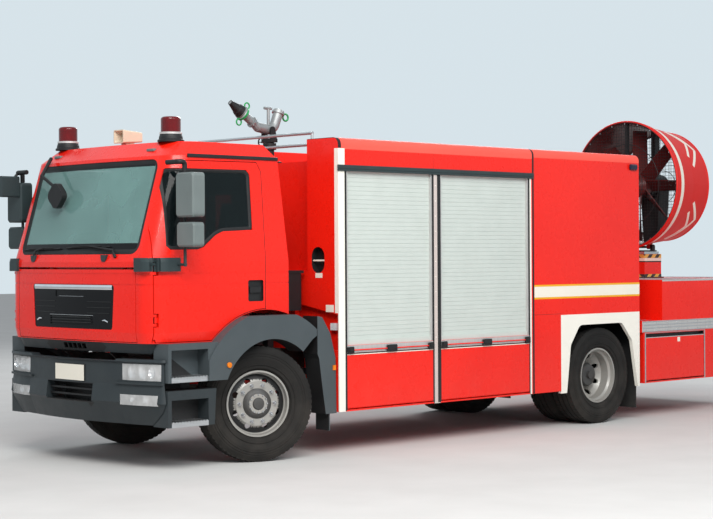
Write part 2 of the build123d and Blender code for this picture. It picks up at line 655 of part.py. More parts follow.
MIRROR_D = 1010
MIRROR_Z = (1775, 2650)
MIRROR_POST_R = 14
MIRROR_ARM_R = 22
MIRROR_ARM_Y = HALF_CAB + 130
KERB_MIRROR = (1168, -1232, 2515)
MIRROR_HEADS = (
    # foot z, top z, depth
    (2177, 2557, 95), (1924, 2135, 80),
)


def side_y(z):
    """Half width of the cab's straight side at a height."""
    share = max(0, z - WAIST_Z) / (SCREEN_TOP_Z - WAIST_Z)
    return HALF_CAB - SIDE_LEAN * share


def mirror_pieces(side):
    """Two mirror heads on a tubular bow between the top and the belt of the door."""
    low, top = MIRROR_Z
    post = rod_z(MIRROR_D, side * MIRROR_ARM_Y, low - 16, top, MIRROR_POST_R)
    foot_y = side_y(low - 12) + BELT_T + SEAM
    low_arm = rod_y(MIRROR_D, side * foot_y, side * (MIRROR_ARM_Y + MIRROR_POST_R), low, 12)
    start = Vector(at(MIRROR_D + 60), side * (side_y(top - MIRROR_ARM_R) + SEAM), top)
    path = FilletPolyline(start, (start.X, side * MIRROR_ARM_Y, top), (at(MIRROR_D), side * MIRROR_ARM_Y, top),
                          (at(MIRROR_D), side * MIRROR_ARM_Y, top - 90), radius=28)
    arm = sweep(Plane(origin=start, z_dir=(0, side, 0)) * Circle(MIRROR_ARM_R), path=path)
    pieces = [post, low_arm, arm]
    for z0, z1, depth in MIRROR_HEADS:
        head = block(MIRROR_D - depth / 2 - 20, MIRROR_D + depth / 2 + 10, side * (MIRROR_ARM_Y - 60), side * (MIRROR_ARM_Y + 185), z0, z1)
        head = fillet(head.edges().filter_by(Axis.X), 34)
        pieces.append(chamfer(head.faces().sort_by(Axis.X)[-1].edges(), 14))
    if side < 0:
        d, y, z = KERB_MIRROR
        pieces.append(mirror_head(KERB_MIRROR, (190, 60, 200)))
        pieces.append(straight_rod(Vector(at(d - 60), y, z + 90), Vector(at(MIRROR_D + 60), -MIRROR_ARM_Y + 20, top), 13))
    return [joined(pieces)] + door_furniture(side)


# Cab fittings: sill, gutters, front mirrors, horn and beacons

SILL_Z = (1012, CAB_FLOOR_Z - SEAM)
SILL_IN = (60, 30)
SILL_T = 18
GUTTER_D = (850, -180)
GUTTER_T = 15
BEACONS = (
    # distance, y
    (800, 790), (800, -790),
)
BEACON_BASE_R = 118
BEACON_BASE_H = 72
DOME_R = 88
DOME_H = 150
HORN_D = 790
HORN_SIZE = (230, 150, 125)
FRONT_MIRROR = (1225, -344, 2400)
MIRROR_ROOT = (1040, -720, 2760)


def cab_sill():
    """Dark panel below the cab's front, open at the tilt lugs, with a ledge up to the floor."""
    low, high = SILL_Z

    def skirt(extra, z0, z1):
        faces = [cab_outline(CAB_FRONT, HALF_CAB, CAB_BACK, z, inset + extra) for z, inset in ((z0, SILL_IN[0]), (z1, SILL_IN[1]))]
        return loft(faces, ruled=True)

    keep = block(STEP_D[1], CAB_FRONT + 20, -HALF_CAB, HALF_CAB, low - 5, high + 5)
    wall = (skirt(0, low, high) - skirt(SILL_T, low, high)) & keep
    ledge = skirt(0, low, high) & block(STEP_D[1], CAB_FRONT + 20, -HALF_CAB, HALF_CAB, high - 14, high)
    panel = wall + ledge
    for s in (-1, 1):
        panel = panel - block(1140, 1240, s * (TILT_Y - TILT_LUG), s * (TILT_Y + TILT_LUG), low - 5, high + 5)
    vent = block(CAB_FRONT - 90, CAB_FRONT + 20, -210, 210, low + 20, high - 20)
    return panel - [vent & block(0, 2000, y - 30, y + 30, low, high) for y in (-140, -70, 0, 70, 140)]


def gutters():
    """Rain gutters along both roof edges."""
    pieces = []
    for s in (-1, 1):
        y = side_y(2704) + 0.6
        bar = section_prism(((s * y, 2704), (s * (y + GUTTER_T), 2708), (s * (y + GUTTER_T), 2732), (s * (y + 4), 2736),
                             (s * y, 2722)), *GUTTER_D)
        pieces.append(bar)
    return pieces


def belt_corners():
    """Covers on the cab's front corners that line up with those of the mirror feet."""
    pieces = []
    for s in (-1, 1):
        cover = cab_shell_band(BELT_T, SEAM) & block(BELT_CORNER_D, BELT_FRONT, s * BELT_CORNER_Y, s * 1300, *BELT_Z)
        swing = rod_z(HINGE_D, s * (corner_y(HINGE_D) - 9), BELT_Z[0] - 5, BELT_Z[1] + 5, BELT_SWING + GAP)
        pieces.append(cover - swing)
    return pieces


def beacon_bases():
    """Stepped feet of the two beacons."""
    z = CAB_ROOF_Z + SEAM
    foot = make_face(Polyline([(0, 0, 0), (BEACON_BASE_R, 0, 0), (BEACON_BASE_R, 0, 16), (BEACON_BASE_R - 12, 0, 24),
                               (BEACON_BASE_R - 14, 0, 44), (DOME_R + 6, 0, BEACON_BASE_H), (0, 0, BEACON_BASE_H)], close=True))
    return [Pos(at(d), y, z) * revolve(foot, axis=Axis.Z, revolution_arc=360) for d, y in BEACONS]


def beacon_domes():
    """Clear caps of the beacons with a rounded top edge."""
    cap = Pos(0, 0, DOME_H / 2) * Cylinder(DOME_R, DOME_H)
    cap = fillet(cap.edges().group_by(Axis.Z)[-1], 26)
    return [Pos(at(d), y, CAB_ROOF_Z + SEAM + BEACON_BASE_H) * cap for d, y in BEACONS]


def siren_horn():
    """Square horn speaker on a short foot, open at its mouth."""
    length, width, height = HORN_SIZE
    z = CAB_ROOF_Z + SEAM
    mouth = Plane(origin=(at(HORN_D), 0, z + 28 + height / 2), z_dir=(-1, 0, 0))
    back = mouth.offset(length)
    body = loft([mouth * RectangleRounded(height, width, 16), back * RectangleRounded(height * 0.72, width * 0.72, 14)])
    bell = loft([mouth * RectangleRounded(height - 20, width - 20, 10), mouth.offset(90) * RectangleRounded(50, 60, 8)])
    foot = block(HORN_D - 60, HORN_D - 150, -40, 40, z, z + 50)
    return (body - bell) + foot


def mirror_head(place, size, turn=0):
    """Rounded mirror housing at a (distance, y, z) place, turned about the direction of travel."""
    d, y, z = place
    head = Box(*size)
    head = fillet(head.edges().filter_by(Axis.X), min(size[1:]) * 0.3)
    return Pos(at(d), y, z) * Rot(turn, 0, 0) * head


def front_mirrors():
    """Further mirror ahead of the screen, on an arm rooted at the roof's right corner."""
    root = Vector(at(MIRROR_ROOT[0]), MIRROR_ROOT[1], MIRROR_ROOT[2])
    bend = Vector(at(FRONT_MIRROR[0]), FRONT_MIRROR[1] - 250, FRONT_MIRROR[2] + 190)
    end = Vector(at(FRONT_MIRROR[0]), FRONT_MIRROR[1], FRONT_MIRROR[2] + 60)
    pieces = [straight_rod(root, bend, 17), straight_rod(bend, end, 15)]
    pieces.append(mirror_head(FRONT_MIRROR, (55, 195, 195), 45))
    return joined(pieces)


def straight_rod(a, b, r):
    """Round rod between two points with ball ends."""
    bar = Plane(origin=(a + b) / 2, z_dir=b - a) * Cylinder(r, (b - a).length)
    return joined([bar, Pos(*a) * Sphere(r), Pos(*b) * Sphere(r)])


def step_tread(d0, d1, y0, y1, z):
    """Aluminium tread with a deep nose and a toothed top."""
    side = math.copysign(1, y1)
    plate = block(d0, d1, y0, y1, z - 12, z) + block(d0, d1, y1 - side * 16, y1, z - 42, z)
    teeth = []
    count = round(abs(d1 - d0) / TOOTH_PITCH)
    for i in range(count):
        start = min(d0, d1) + (i + 0.2) * abs(d1 - d0) / count
        teeth.append(side_prism(((start, z - 0.5), (start + TOOTH_PITCH * 0.6, z - 0.5), (start + TOOTH_PITCH * 0.45, z + 8),
                                 (start + TOOTH_PITCH * 0.15, z + 8)), y0, y1))
    return joined([plate] + teeth)


# Front flap and grille

GRILLE_HALF_W = 625
GRILLE_Z = (1211, 1600)
GRILLE_T = 16
GRILLE_TAPER = 26
STRIP_H = 44
INTAKE_H = 92
INTAKE_HALF_W = 330
SLATS = 4


def flap_arm(side):
    """Goose-neck arm: from the pivot back and down, round below the cowl's edge, to the flap's inner face."""
    d, z = FLAP_PIVOT
    px, pz = at(d), z

    def polar(r, degrees):
        a = math.radians(degrees)
        return (px + r * math.cos(a), 0, pz + r * math.sin(a))

    start, middle, end = ARM_SWEEP
    inner = ThreePointArc(polar(ARM_R[0], start), polar(ARM_R[0], middle), polar(ARM_R[0], end))
    outer = ThreePointArc(polar(ARM_R[1], end), polar(ARM_R[1], middle), polar(ARM_R[1], start))
    neck = make_face(Wire([inner, Line(inner @ 1, outer @ 0), outer, Line(outer @ 1, inner @ 0)]))
    leg_a = math.radians(start + 4)
    ux, uz = math.cos(leg_a), math.sin(leg_a)
    leg = make_face(Polyline([(px + k * uz * 9 + r * ux, 0, pz - k * ux * 9 + r * uz)
                              for k, r in ((1, 0), (1, ARM_R[1] - 4), (-1, ARM_R[1] - 4), (-1, 0))], close=True))
    y = side * FLAP_PIVOT_Y
    plates = [extrude(Pos(0, y, 0) * face, amount=FLAP_ARM_T / 2, dir=(0, 1, 0), both=True) for face in (neck, leg)]
    foot = block(d + 14, d + 45, y - FLAP_ARM_T / 2, y + FLAP_ARM_T / 2, z - ARM_R[1] - 60, z - ARM_R[1] + 4)
    return joined(plates + [foot, rod_y(d, y - FLAP_ARM_T / 2, y + FLAP_ARM_T / 2, z, 15)])


def front_flap(outer, inner):
    """The flap's skin with a shallow seat for the grille and two goose-neck arms up to the pivots."""
    skin = (outer - inner) & front_region(0, 0)
    skin = skin - block(900, CAB_FRONT - BOW - CAB_WALL + 5, -1000, 1000, FLAP_BOTTOM_Z - 5, CAB_FLOOR_Z + CAB_WALL + 5)
    flap = skin - grille_seat() - crease(outer)
    flap = flap - (cab_solid(FLAP_LIP_T) & block(1000, 1400, -1000, 1000, FLAP_TOP_Z - 30, FLAP_TOP_Z + 5))
    for s in (-1, 1):
        flap = flap + flap_arm(s) - rod_y(FLAP_PIVOT[0], s * (FLAP_PIVOT_Y - 30), s * (FLAP_PIVOT_Y + 30), FLAP_PIVOT[1],
                                          FLAP_PIN_R + FIT)
    return flap


def grille_seat():
    """Room in the flap for the grille panel."""
    return grille_region() - cab_solid(GRILLE_T)


def grille_region():
    """Front-view outline of the grille, a little narrower at its foot, with round corners."""
    z0, z1 = GRILLE_Z
    outline = Polyline([(-GRILLE_HALF_W + GRILLE_TAPER, z0), (GRILLE_HALF_W - GRILLE_TAPER, z0), (GRILLE_HALF_W, z1), (-GRILLE_HALF_W, z1)],
                       close=True)
    flat = make_face(outline)
    flat = fillet(flat.vertices(), 26)
    placed = Plane(origin=(at(CAB_FRONT - 150), 0, 0), x_dir=(0, 1, 0), z_dir=(1, 0, 0)) * flat
    return extrude(placed, amount=200)


def front_grille(outer):
    """Grille panel seated in the flap, with a bright strip at the top and a slatted intake at the foot."""
    panel = (outer - cab_solid(GRILLE_T)) & grille_region()
    strip = block(CAB_FRONT - 150, CAB_FRONT + 50, -GRILLE_HALF_W, GRILLE_HALF_W, GRILLE_Z[1] - STRIP_H, GRILLE_Z[1] + 5)
    sunk = grille_region() - strip - cab_solid(3)
    panel = panel - sunk
    z0 = GRILLE_Z[0] + 34
    pitch = INTAKE_H / SLATS
    slots = [block(CAB_FRONT - 150, CAB_FRONT + 50, -INTAKE_HALF_W, INTAKE_HALF_W, z0 + i * pitch, z0 + (i + 0.6) * pitch)
             for i in range(SLATS)]
    dip = block(CAB_FRONT - 150, CAB_FRONT + 50, -240, 240, GRILLE_Z[1] - STRIP_H - 62, GRILLE_Z[1] - STRIP_H - 8)
    return panel - [slot - cab_solid(GRILLE_T * 0.7) for slot in slots] - (dip - cab_solid(GRILLE_T * 0.5))


# Cab interior

SEAT_Y = 690
SEAT_HALF_W = 240


def seat(y):
    """Seat with cushion and back on a box pedestal that stands over the wheel well."""
    z = AXLE_Z + WELL_R
    profile = ((-60, z - 80), (330, z - 80), (330, z + 200), (430, z + 220), (430, z + 330), (60, z + 310), (-50, z + 930),
               (-165, z + 930), (-110, z + 250))
    return side_prism(profile, y - SEAT_HALF_W, y + SEAT_HALF_W) - arch_disc(WELL_R + SEAM, y - 300, y + 300)


def cab_interior():
    """Dashboard, two seats and the steering wheel with its column."""
    dash_front = BULKHEAD_D - SEAM
    dash = side_prism(((dash_front, 1500), (dash_front, 1850), (980, 1900), (800, 1870), (760, 1780), (820, 1500)),
                      -HALF_CAB + 170, HALF_CAB - 170)
    y = 640
    wheel = Pos(at(640), y, 1930) * Rot(0, -28, 0) * Torus(215, 16)
    spokes = Pos(at(640), y, 1930) * Rot(0, -28, 0) * (Box(30, 420, 14) + Cylinder(60, 40))
    column = Plane(origin=(at(640), y, 1930), z_dir=(math.sin(math.radians(28)), 0, -math.cos(math.radians(28)))) \
        * Pos(0, 0, 195) * Cylinder(26, 390)
    return dash, (wheel + spokes + column) - dash


# Front bumper, lamps and steps

BUMPER_Z = (400, 965)
BUMPER_T = 95
BUMPER_HALF_W = 1192
BUMPER_SECTIONS = (
    # height, set back
    (BUMPER_Z[0], 75), (570, 14), (592, 0), (742, 20), (928, 24), (944, 4), (BUMPER_Z[1], 9),
)
LAMP_Z = (784, 925)
LAMP_Y = (715, 1140)
FOG_Z = (572, 662)
FOG_Y = (700, 1120)
LAMP_DEPTH = 80
LAMP_FACE = 22
FOG_FACE = 8
LIP_Z = 946


def bumper_outline(inset, z):
    """Closed plan outline of the bumper at one height, set in by an amount: bowed nose, swept ends, round corners."""
    k = 1 - 0.45 * inset / BUMPER_HALF_W

    def p(d, y):
        return (at(d - inset), y * k, z)

    nose = ThreePointArc(p(1305, -710), p(CAB_FRONT + 45, 0), p(1305, 710))
    left = [ThreePointArc(p(1305, 710), p(1272, 940), p(1216, 1132)), ThreePointArc(p(1216, 1132), p(1198, 1170), p(1160, BUMPER_HALF_W))]
    right = [ThreePointArc(p(1160, -BUMPER_HALF_W), p(1198, -1170), p(1216, -1132)),
             ThreePointArc(p(1216, -1132), p(1272, -940), p(1305, -710))]
    tail = [Line(p(1160, BUMPER_HALF_W), p(1000, BUMPER_HALF_W)), Line(p(1000, BUMPER_HALF_W), p(1000, -BUMPER_HALF_W)),
            Line(p(1000, -BUMPER_HALF_W), p(1160, -BUMPER_HALF_W))]
    return make_face(Wire([nose] + left + tail + right))


def bumper_solid(inset, z0, z1):
    return extrude(bumper_outline(inset, z0), amount=z1 - z0, dir=(0, 0, 1))


def bumper_form():
    """The bumper's outside: undercut foot, lower lip, upright face and a lip along the top."""
    outlines = [bumper_outline(inset, z) for z, inset in BUMPER_SECTIONS]
    return joined([loft([low, high], ruled=True) for low, high in zip(outlines, outlines[1:])])


def lamp_region(y_range, z_range, side):
    return block(STEP_D[1] + 2 * GAP, CAB_FRONT + 100, side * y_range[0], side * y_range[1], *z_range)


def front_bumper():
    """Deep plastic bumper: a bowed skin with lamp seats, a slatted intake and brackets to the rails."""
    skin = bumper_form() - bumper_solid(BUMPER_T, BUMPER_Z[0] - 5, BUMPER_Z[1] + 5)
    ledge = bumper_solid(2, 750, 768) - bumper_solid(50, 745, 773)
    shell = skin + (ledge & (block(1080, 1450, 650, 1160, 745, 775) + block(1080, 1450, -1160, -650, 745, 775)))
    dip = section_prism(((-672, BUMPER_Z[1] + 5), (-632, LIP_Z), (632, LIP_Z), (672, BUMPER_Z[1] + 5)), 1150, 1450)
    shell = shell - block(900, STEP_D[1] + GAP, -1500, 1500, 300, 1100) - dip
    shell = shell - block(1200, 1500, -350, 350, 577, 735)
    for z in (617, 672):
        shell = shell + block(1282, 1306, -352, 352, z, z + 16)
    for s in (-1, 1):
        for y_range, z_range in ((LAMP_Y, LAMP_Z), (FOG_Y, FOG_Z)):
            shell = shell - (lamp_region(y_range, z_range, s) - bumper_solid(LAMP_DEPTH, 300, 1100))
        bracket = block(FRAME_FRONT + SEAM, 1290, s * (FRAME_HALF_W - 70), s * (FRAME_HALF_W - 10), 715, 900)
        shell = shell + bracket
    return shell


def lamps():
    """Head and lower lamps let into the bumper, side markers behind the front wheels and the body's work lamps."""
    pieces = []
    for s in (-1, 1):
        for y_range, z_range, face in ((LAMP_Y, LAMP_Z, LAMP_FACE), (FOG_Y, FOG_Z, FOG_FACE)):
            band = bumper_solid(face, 300, 1100) - bumper_solid(LAMP_DEPTH, 290, 1110)
            pieces.append(band & lamp_region(y_range, z_range, s))
        pieces.append(block(-728, -760, s * (FENDER_Y[1] + SEAM), s * (FENDER_Y[1] + 12), 786, 832))
        pieces.append(block(BODY_FRONT - 10, BODY_FRONT - 58 + SEAM, s * 1120, s * 1190, 1150, 1215))
    return pieces


def entrance_steps():
    """Lower step housing behind the bumper, on a bracket to the rail."""
    pieces = []
    for s in (-1, 1):
        y = (s * STEP_Y[0], s * STEP_Y[1])
        body = side_prism(((STEP_D[1], 388), (STEP_D[1], STEP_GAP_Z[0]), (STEP_D[0] - 20, STEP_GAP_Z[0]), (STEP_D[0] - 10, 560),
                           (STEP_D[0], 388)), *y)
        recess = block(*TREAD_D, s * TREAD_IN, s * (STEP_Y[1] + 30), 380, 620)
        arm = block(780, 880, s * (FRAME_HALF_W + SEAM), s * (STEP_Y[0] + 10), 650, 750)
        pieces.append(body - recess + arm)
    return pieces


def treads(z):
    """One toothed tread on each side, between the cheeks of its recess."""
    pieces = []
    for s in (-1, 1):
        pieces.append(step_tread(TREAD_D[0] + SEAM, TREAD_D[1] - SEAM, s * (TREAD_IN + SEAM), s * STEP_Y[1], z))
    return pieces


def rear_quarters():
    """Fixed quarter behind each front wheel, with its mudflap and an arm to the rail."""
    pieces = []
    for s in (-1, 1):
        y0, y1 = sorted((s * FENDER_Y[0], s * FENDER_Y[1]))
        ring = side_prism(((-535 - GAP, 1112), (-535 - GAP, 1290), (-600, 1280), (-700, 1130), (-765, 900), (-775, 386), (-640, 386),
                           (-605, 600), (-560, 900), (-490, 1060)), y0, y1)
        piece = ring - arch_disc(FENDER_IN_R, y0 - 5, y1 + 5) - block(-535 - GAP, 0, y0 - 5, y1 + 5, 900, 1400)
        arm = block(-700, -640, s * (FRAME_HALF_W + SEAM), s * (FENDER_Y[0] + 10), 740, 800)
        flap = block(-700, -688, y0 + 10, y1 - 10, 230, 390)
        pieces.append(joined([piece, arm, flap]))
    return pieces


# Body: locker module, tank module and deck

SHUTTERS = (
    # front, rear
    (-880, -2054), (-2153, -3500),
)
SHUTTER_Z = (1007, 2640)
FLAP_Z = (410, 935)
FLAP_T = 34
FLAP_PIN_L = 16
FLAP_END_R = 8
SIDE_BOX_IN = 770
SIDE_WALL = 36
LOCKER_DEPTH = 560
PARAPET_Y = 820
FLOOR_Z = FRAME_TOP_Z + SEAM
EDGE_R = 70
SHUTTER_T = 22
SHUTTER_IN = 30
SLAT_PITCH = 41
SLAT_GROOVE = 5
GUIDE_W = 26
BAR_H = 46
PLATE_T = 4
PLATES = (
    # front, rear, top
    (BODY_FRONT, -866, 2650), (-2062, -2145, 2645), (-3508, -3534, 2645),
)
EAVE_Z = (2652, 2676)
EAVE_OUT = 14
LATCHES = ((-920, -1440, -2012), (-2196, -2820, -3456))
LATCH_Z = (948, 992)
RECESS_Y = 968
RECESS_R = 87
RECESS_Z = (1767, 1838)
RECESS_DEPTH = 60
CORNER_POCKET = (
    # y, z
    (640, 1400), (1236, 1296), (1236, 965), (640, 965),
)


def body_section(d0, d1):
    """Body cross-section with rounded upper edges and a sunk walkway between the parapets."""
    section = section_prism(((-HALF_BODY, FLOOR_Z), (HALF_BODY, FLOOR_Z), (HALF_BODY, BODY_TOP_Z), (-HALF_BODY, BODY_TOP_Z)), d0, d1)
    edges = section.edges().filter_by(Axis.X).group_by(Axis.Z)[-1]
    section = fillet(edges, EDGE_R)
    return section - block(d0 + 50, d1 - 50, -PARAPET_Y, PARAPET_Y, BODY_DECK_Z, BODY_TOP_Z + 10)


def side_box(d0, d1, side, bays):
    """Hanging compartment outside the rails, open to the side at each bay."""
    box = block(d0, d1, side * SIDE_BOX_IN, side * HALF_BODY, BODY_BOTTOM_Z, FLOOR_Z + 1)
    for front, rear in bays:
        box = box - block(front, rear, side * (SIDE_BOX_IN + SIDE_WALL), side * (HALF_BODY + 10), FLAP_Z[0], FLAP_Z[1])
        box = box - flap_holes(front, rear, FLAP_Z[0], side)
    return box


def side_plates(side, grow=0.0):
    """Thin upright plates on the module's side: the front corner and the posts beside the shutters."""
    y = (side * (HALF_BODY - PLATE_T + SEAM - grow), side * (HALF_BODY + grow))
    return [block(front + grow, rear - grow, *y, BODY_BOTTOM_Z - grow, top + grow) for front, rear, top in PLATES]


def body_front_module():
    """Locker module: open bays on both sides above, compartments behind the lower flaps."""
    module = body_section(BODY_FRONT, MODULE_JOINT + SEAM)
    for s in (-1, 1):
        for front, rear in SHUTTERS:
            module = module - block(front, rear, s * (HALF_BODY - LOCKER_DEPTH), s * (HALF_BODY + 10), *SHUTTER_Z)
        module = module + side_box(BODY_FRONT, MODULE_JOINT + SEAM, s, SHUTTERS)
    recess = block(BODY_FRONT - 120, BODY_FRONT + 10, -PARAPET_Y, PARAPET_Y, 1700, BODY_TOP_Z + 10)
    module = module - recess
    for s in (-1, 1):
        module = module - [rod_x(BODY_FRONT - RECESS_DEPTH, BODY_FRONT + 10, s * RECESS_Y, z, RECESS_R) for z in RECESS_Z]
        module = module - block(BODY_FRONT - RECESS_DEPTH, BODY_FRONT + 10, s * (RECESS_Y - RECESS_R), s * (RECESS_Y + RECESS_R), *RECESS_Z)
        module = module - section_prism([(s * y, z) for y, z in CORNER_POCKET], BODY_FRONT - 58, BODY_FRONT + 10)
        module = module - side_plates(s, SEAM)
    return module


def shutter_section(side, y_face):
    """Cross-section of a closed shutter: slats with a shallow groove between each pair."""
    z0, z1 = SHUTTER_Z
    foot = z0 + BAR_H
    points = [(side * (y_face - SHUTTER_T), foot), (side * y_face, foot)]
    for i in range(1, int((z1 - foot) / SLAT_PITCH)):
        z = foot + i * SLAT_PITCH
        points += [(side * y_face, z - SLAT_GROOVE / 2), (side * (y_face - 3), z - 1), (side * (y_face - 3), z + 1),
                   (side * y_face, z + SLAT_GROOVE / 2)]
    return points + [(side * y_face, z1), (side * (y_face - SHUTTER_T), z1)]


def shutters():
    """Closed roller shutters: grooved curtain, deep bottom bar and a guide at each edge, with the locking bar below."""
    pieces = []
    y_face = HALF_BODY - SHUTTER_IN
    for s in (-1, 1):
        for (front, rear), latch_row in zip(SHUTTERS, LATCHES):
            pieces.append(section_prism(shutter_section(s, y_face), front - GUIDE_W, rear + GUIDE_W))
            pieces.append(block(front - GUIDE_W, rear + GUIDE_W, s * (y_face - SHUTTER_T), s * (y_face + 16), SHUTTER_Z[0], SHUTTER_Z[0] + BAR_H))
            for d0, d1 in ((front, front - GUIDE_W), (rear + GUIDE_W, rear)):
                pieces.append(block(d0, d1, s * (y_face - SHUTTER_T), s * (y_face + 24), *SHUTTER_Z))
            lock = [block(d - 32, d + 32, s * (HALF_BODY + SEAM), s * (HALF_BODY + 20), *LATCH_Z) for d in latch_row]
            lock.append(rod_x(latch_row[0], latch_row[-1], s * (HALF_BODY + 12), LATCH_Z[0] + 14, 6))
            pieces.append(joined(lock))
    return pieces


ARCH_PANEL = (-4010, BODY_REAR)
ARCH_OPEN = ((-4104, 360), (-4175, 877), (-4330, 1084), (-5065, 1087), (-5245, 888), (-5351, 360))
ARCH_WALL = 40
REAR_BAY = (-4095, -5355)
REAR_BAY_TOP = 1125
REAR_BAY_Y = 590


def body_rear_module():
    """Tank module with the rear wheel bays cut out and side skirts down to the sill."""
    module = body_section(MODULE_JOINT, BODY_REAR)
    for s in (-1, 1):
        skirt = block(MODULE_JOINT, ARCH_PANEL[0] - SEAM, s * SIDE_BOX_IN, s * HALF_BODY, BODY_BOTTOM_Z, FLOOR_Z + 1)
        module = module + skirt
        module = module - block(*REAR_BAY, s * REAR_BAY_Y, s * (HALF_BODY + 10), FLOOR_Z - 10, REAR_BAY_TOP)
        seat_cut = block(ARCH_PANEL[0], ARCH_PANEL[1] - 10, s * (HALF_BODY - ARCH_WALL), s * (HALF_BODY + 10), 300, 1200)
        module = module - seat_cut
    return module


def arch_panels():
    """Pale pieces of the sides: wheel-arch panels, corner plate and posts, with a mudflap behind each rear wheel."""
    pieces = []
    for s in (-1, 1):
        y = (s * (HALF_BODY - ARCH_WALL + SEAM), s * HALF_BODY)
        panel = block(ARCH_PANEL[0] - SEAM, ARCH_PANEL[1], *y, 370, 1200 - SEAM)
        opening = side_prism(ARCH_OPEN, min(y) - 5, max(y) + 5)
        upper = opening.edges().filter_by(Axis.Y).sort_by(Axis.Z)[-4:]
        pieces.append(panel - fillet(upper, 90))
        flap = block(-5366, -5378, s * 640, s * (HALF_BODY - ARCH_WALL - 5), 127, FLOOR_Z - SEAM)
        pieces.append(flap)
        pieces += side_plates(s)
    return pieces


HATCH_D = (-5500, -6620)
HATCH_Z = (410, 820)
SIDE_END = -7650
DECK_BAND_D = (-5430, TAIL)
COLUMN_HALF = 170
COLUMN_WALL = 22
COLUMN_FIT = 0.5


def rear_deck():
    """Deck platform: edge band, raised box and hanging side compartments."""
    band = block(DECK_BAND_D[0], DECK_BAND_D[1], -HALF_BODY, HALF_BODY, FLOOR_Z, BAND_Z)
    box = block(DECK_BOX_FRONT, TAIL, -HALF_BODY, HALF_BODY, BAND_Z - 1, DECK_TOP_Z)
    pieces = [band, box]
    for s in (-1, 1):
        side = block(DECK_BAND_D[0] - 30, SIDE_END, s * SIDE_BOX_IN, s * HALF_BODY, BODY_BOTTOM_Z, FLOOR_Z + 1)
        side = side - block(*HATCH_D, s * (SIDE_BOX_IN + SIDE_WALL), s * (HALF_BODY + 10), *HATCH_Z)
        side = side - block(HATCH_D[0], HATCH_D[1], s * (HALF_BODY - 40), s * (HALF_BODY + 10), HATCH_Z[1] - 1, 945)
        side = side - flap_holes(*HATCH_D, HATCH_Z[0], s)
        pieces.append(side)
    deck = joined(pieces)
    well = block(FAN_AXIS - COLUMN_HALF - SEAM, FAN_AXIS + COLUMN_HALF + SEAM, -COLUMN_HALF - SEAM, COLUMN_HALF + SEAM,
                 FLOOR_Z - 10, DECK_TOP_Z + 10)
    return deck - well


def rear_bumper():
    """Under-run bar on two hangers below the tail, with a lamp block at each end."""
    bar = block(TAIL + 60, TAIL + 160, -1150, 1150, 430, 550)
    hangers = [block(SIDE_END - SEAM, TAIL + 160, s * 780, s * 860, 480, FLOOR_Z - SEAM) for s in (-1, 1)]
    rear_lamps = [block(TAIL + 36, TAIL + 60 - SEAM, s * 870, s * 1130, 445, 535) for s in (-1, 1)]
    return [joined([bar] + hangers)] + rear_lamps


def hanging_flap(d0, d1, z0, z1, side):
    """A flap that fills one side opening, on a pin at each end of its rounded foot."""
    y = side * (HALF_BODY - FLAP_T / 2)
    foot = z0 + GAP + FLAP_T / 2
    leaf = block(d0 - GAP, d1 + GAP, side * (HALF_BODY - FLAP_T), side * HALF_BODY, foot, z1 - GAP)
    roll = rod_x(d0 - GAP, d1 + GAP, y, foot, FLAP_T / 2)
    pin = rod_x(d0 + FLAP_PIN_L, d1 - FLAP_PIN_L, y, foot, FLAP_END_R)
    return joined([leaf, roll, pin])


def flap_holes(d0, d1, z0, side):
    """The bores at both ends of an opening that a flap's pins turn in."""
    return rod_x(d0 + FLAP_PIN_L + 2, d1 - FLAP_PIN_L - 2, side * (HALF_BODY - FLAP_T / 2), z0 + GAP + FLAP_T / 2, FLAP_END_R + FIT)


# Roof fittings and monitor

RAIL_R = 15
FRONT_BARS = (2892, 3000)
HATCH_LINTEL_Z = (951, 957)
MONITOR_D = -1035
POST_R = 46
COLLAR_R = 66
MONITOR_POST_H = 180
MONITOR_BASE_Z = BODY_DECK_Z + MONITOR_POST_H
BARREL_PIVOT = (-1020, 3088)
BARREL_RISE = 33
ELBOW_R = 49
ELBOW_PATH = (
    # distance, z
    (-1150, 3262), (-1078, 3080), (-880, 3108),
)
ELBOW_BEND = 95
NOZZLE_D = (-667, 3245)


def roof_rails():
    """Cross bars at the roof's front, eaves above the shutters, hatch frames and the bar in each front recess."""
    d = BODY_FRONT - 40
    low, high = FRONT_BARS
    pieces = [rod_y(d, -PARAPET_Y, PARAPET_Y, low, RAIL_R)]
    upper = [rod_y(d, -PARAPET_Y - 40, PARAPET_Y + 40, high, RAIL_R)]
    upper += [rod_z(d, s * (PARAPET_Y + 30), BODY_TOP_Z, high, RAIL_R - 2) for s in (-1, 1)]
    pieces.append(joined(upper))
    for s in (-1, 1):
        y = (s * (HALF_BODY + SEAM), s * (HALF_BODY + EAVE_OUT))
        pieces.append(block(BODY_FRONT - 8, MODULE_JOINT + 12, *y, *EAVE_Z))
        skin = (s * (HALF_BODY + SEAM), s * (HALF_BODY + 4))
        pieces.append(block(HATCH_D[0] + 22, HATCH_D[1] - 22, *skin, *HATCH_LINTEL_Z))
        for d0, d1 in ((HATCH_D[0] + 22, HATCH_D[0] + 4), (HATCH_D[1] - 4, HATCH_D[1] - 22)):
            pieces.append(block(d0, d1, *skin, HATCH_Z[0] - 12, HATCH_LINTEL_Z[0] - SEAM))
        pieces.append(rod_y(BODY_FRONT - 24, s * (RECESS_Y - RECESS_R), s * (RECESS_Y + RECESS_R), RECESS_Z[0] + 30, 9))
    return pieces


def monitor_base():
    """Roof flange, dark post and the fixed half of the swivel collar."""
    flange = rod_z(MONITOR_D, 0, BODY_DECK_Z, BODY_DECK_Z + 24, 120)
    collar = rod_z(MONITOR_D, 0, MONITOR_BASE_Z - 34, MONITOR_BASE_Z, COLLAR_R)
    return joined([flange, rod_z(MONITOR_D, 0, BODY_DECK_Z, MONITOR_BASE_Z, POST_R), collar])


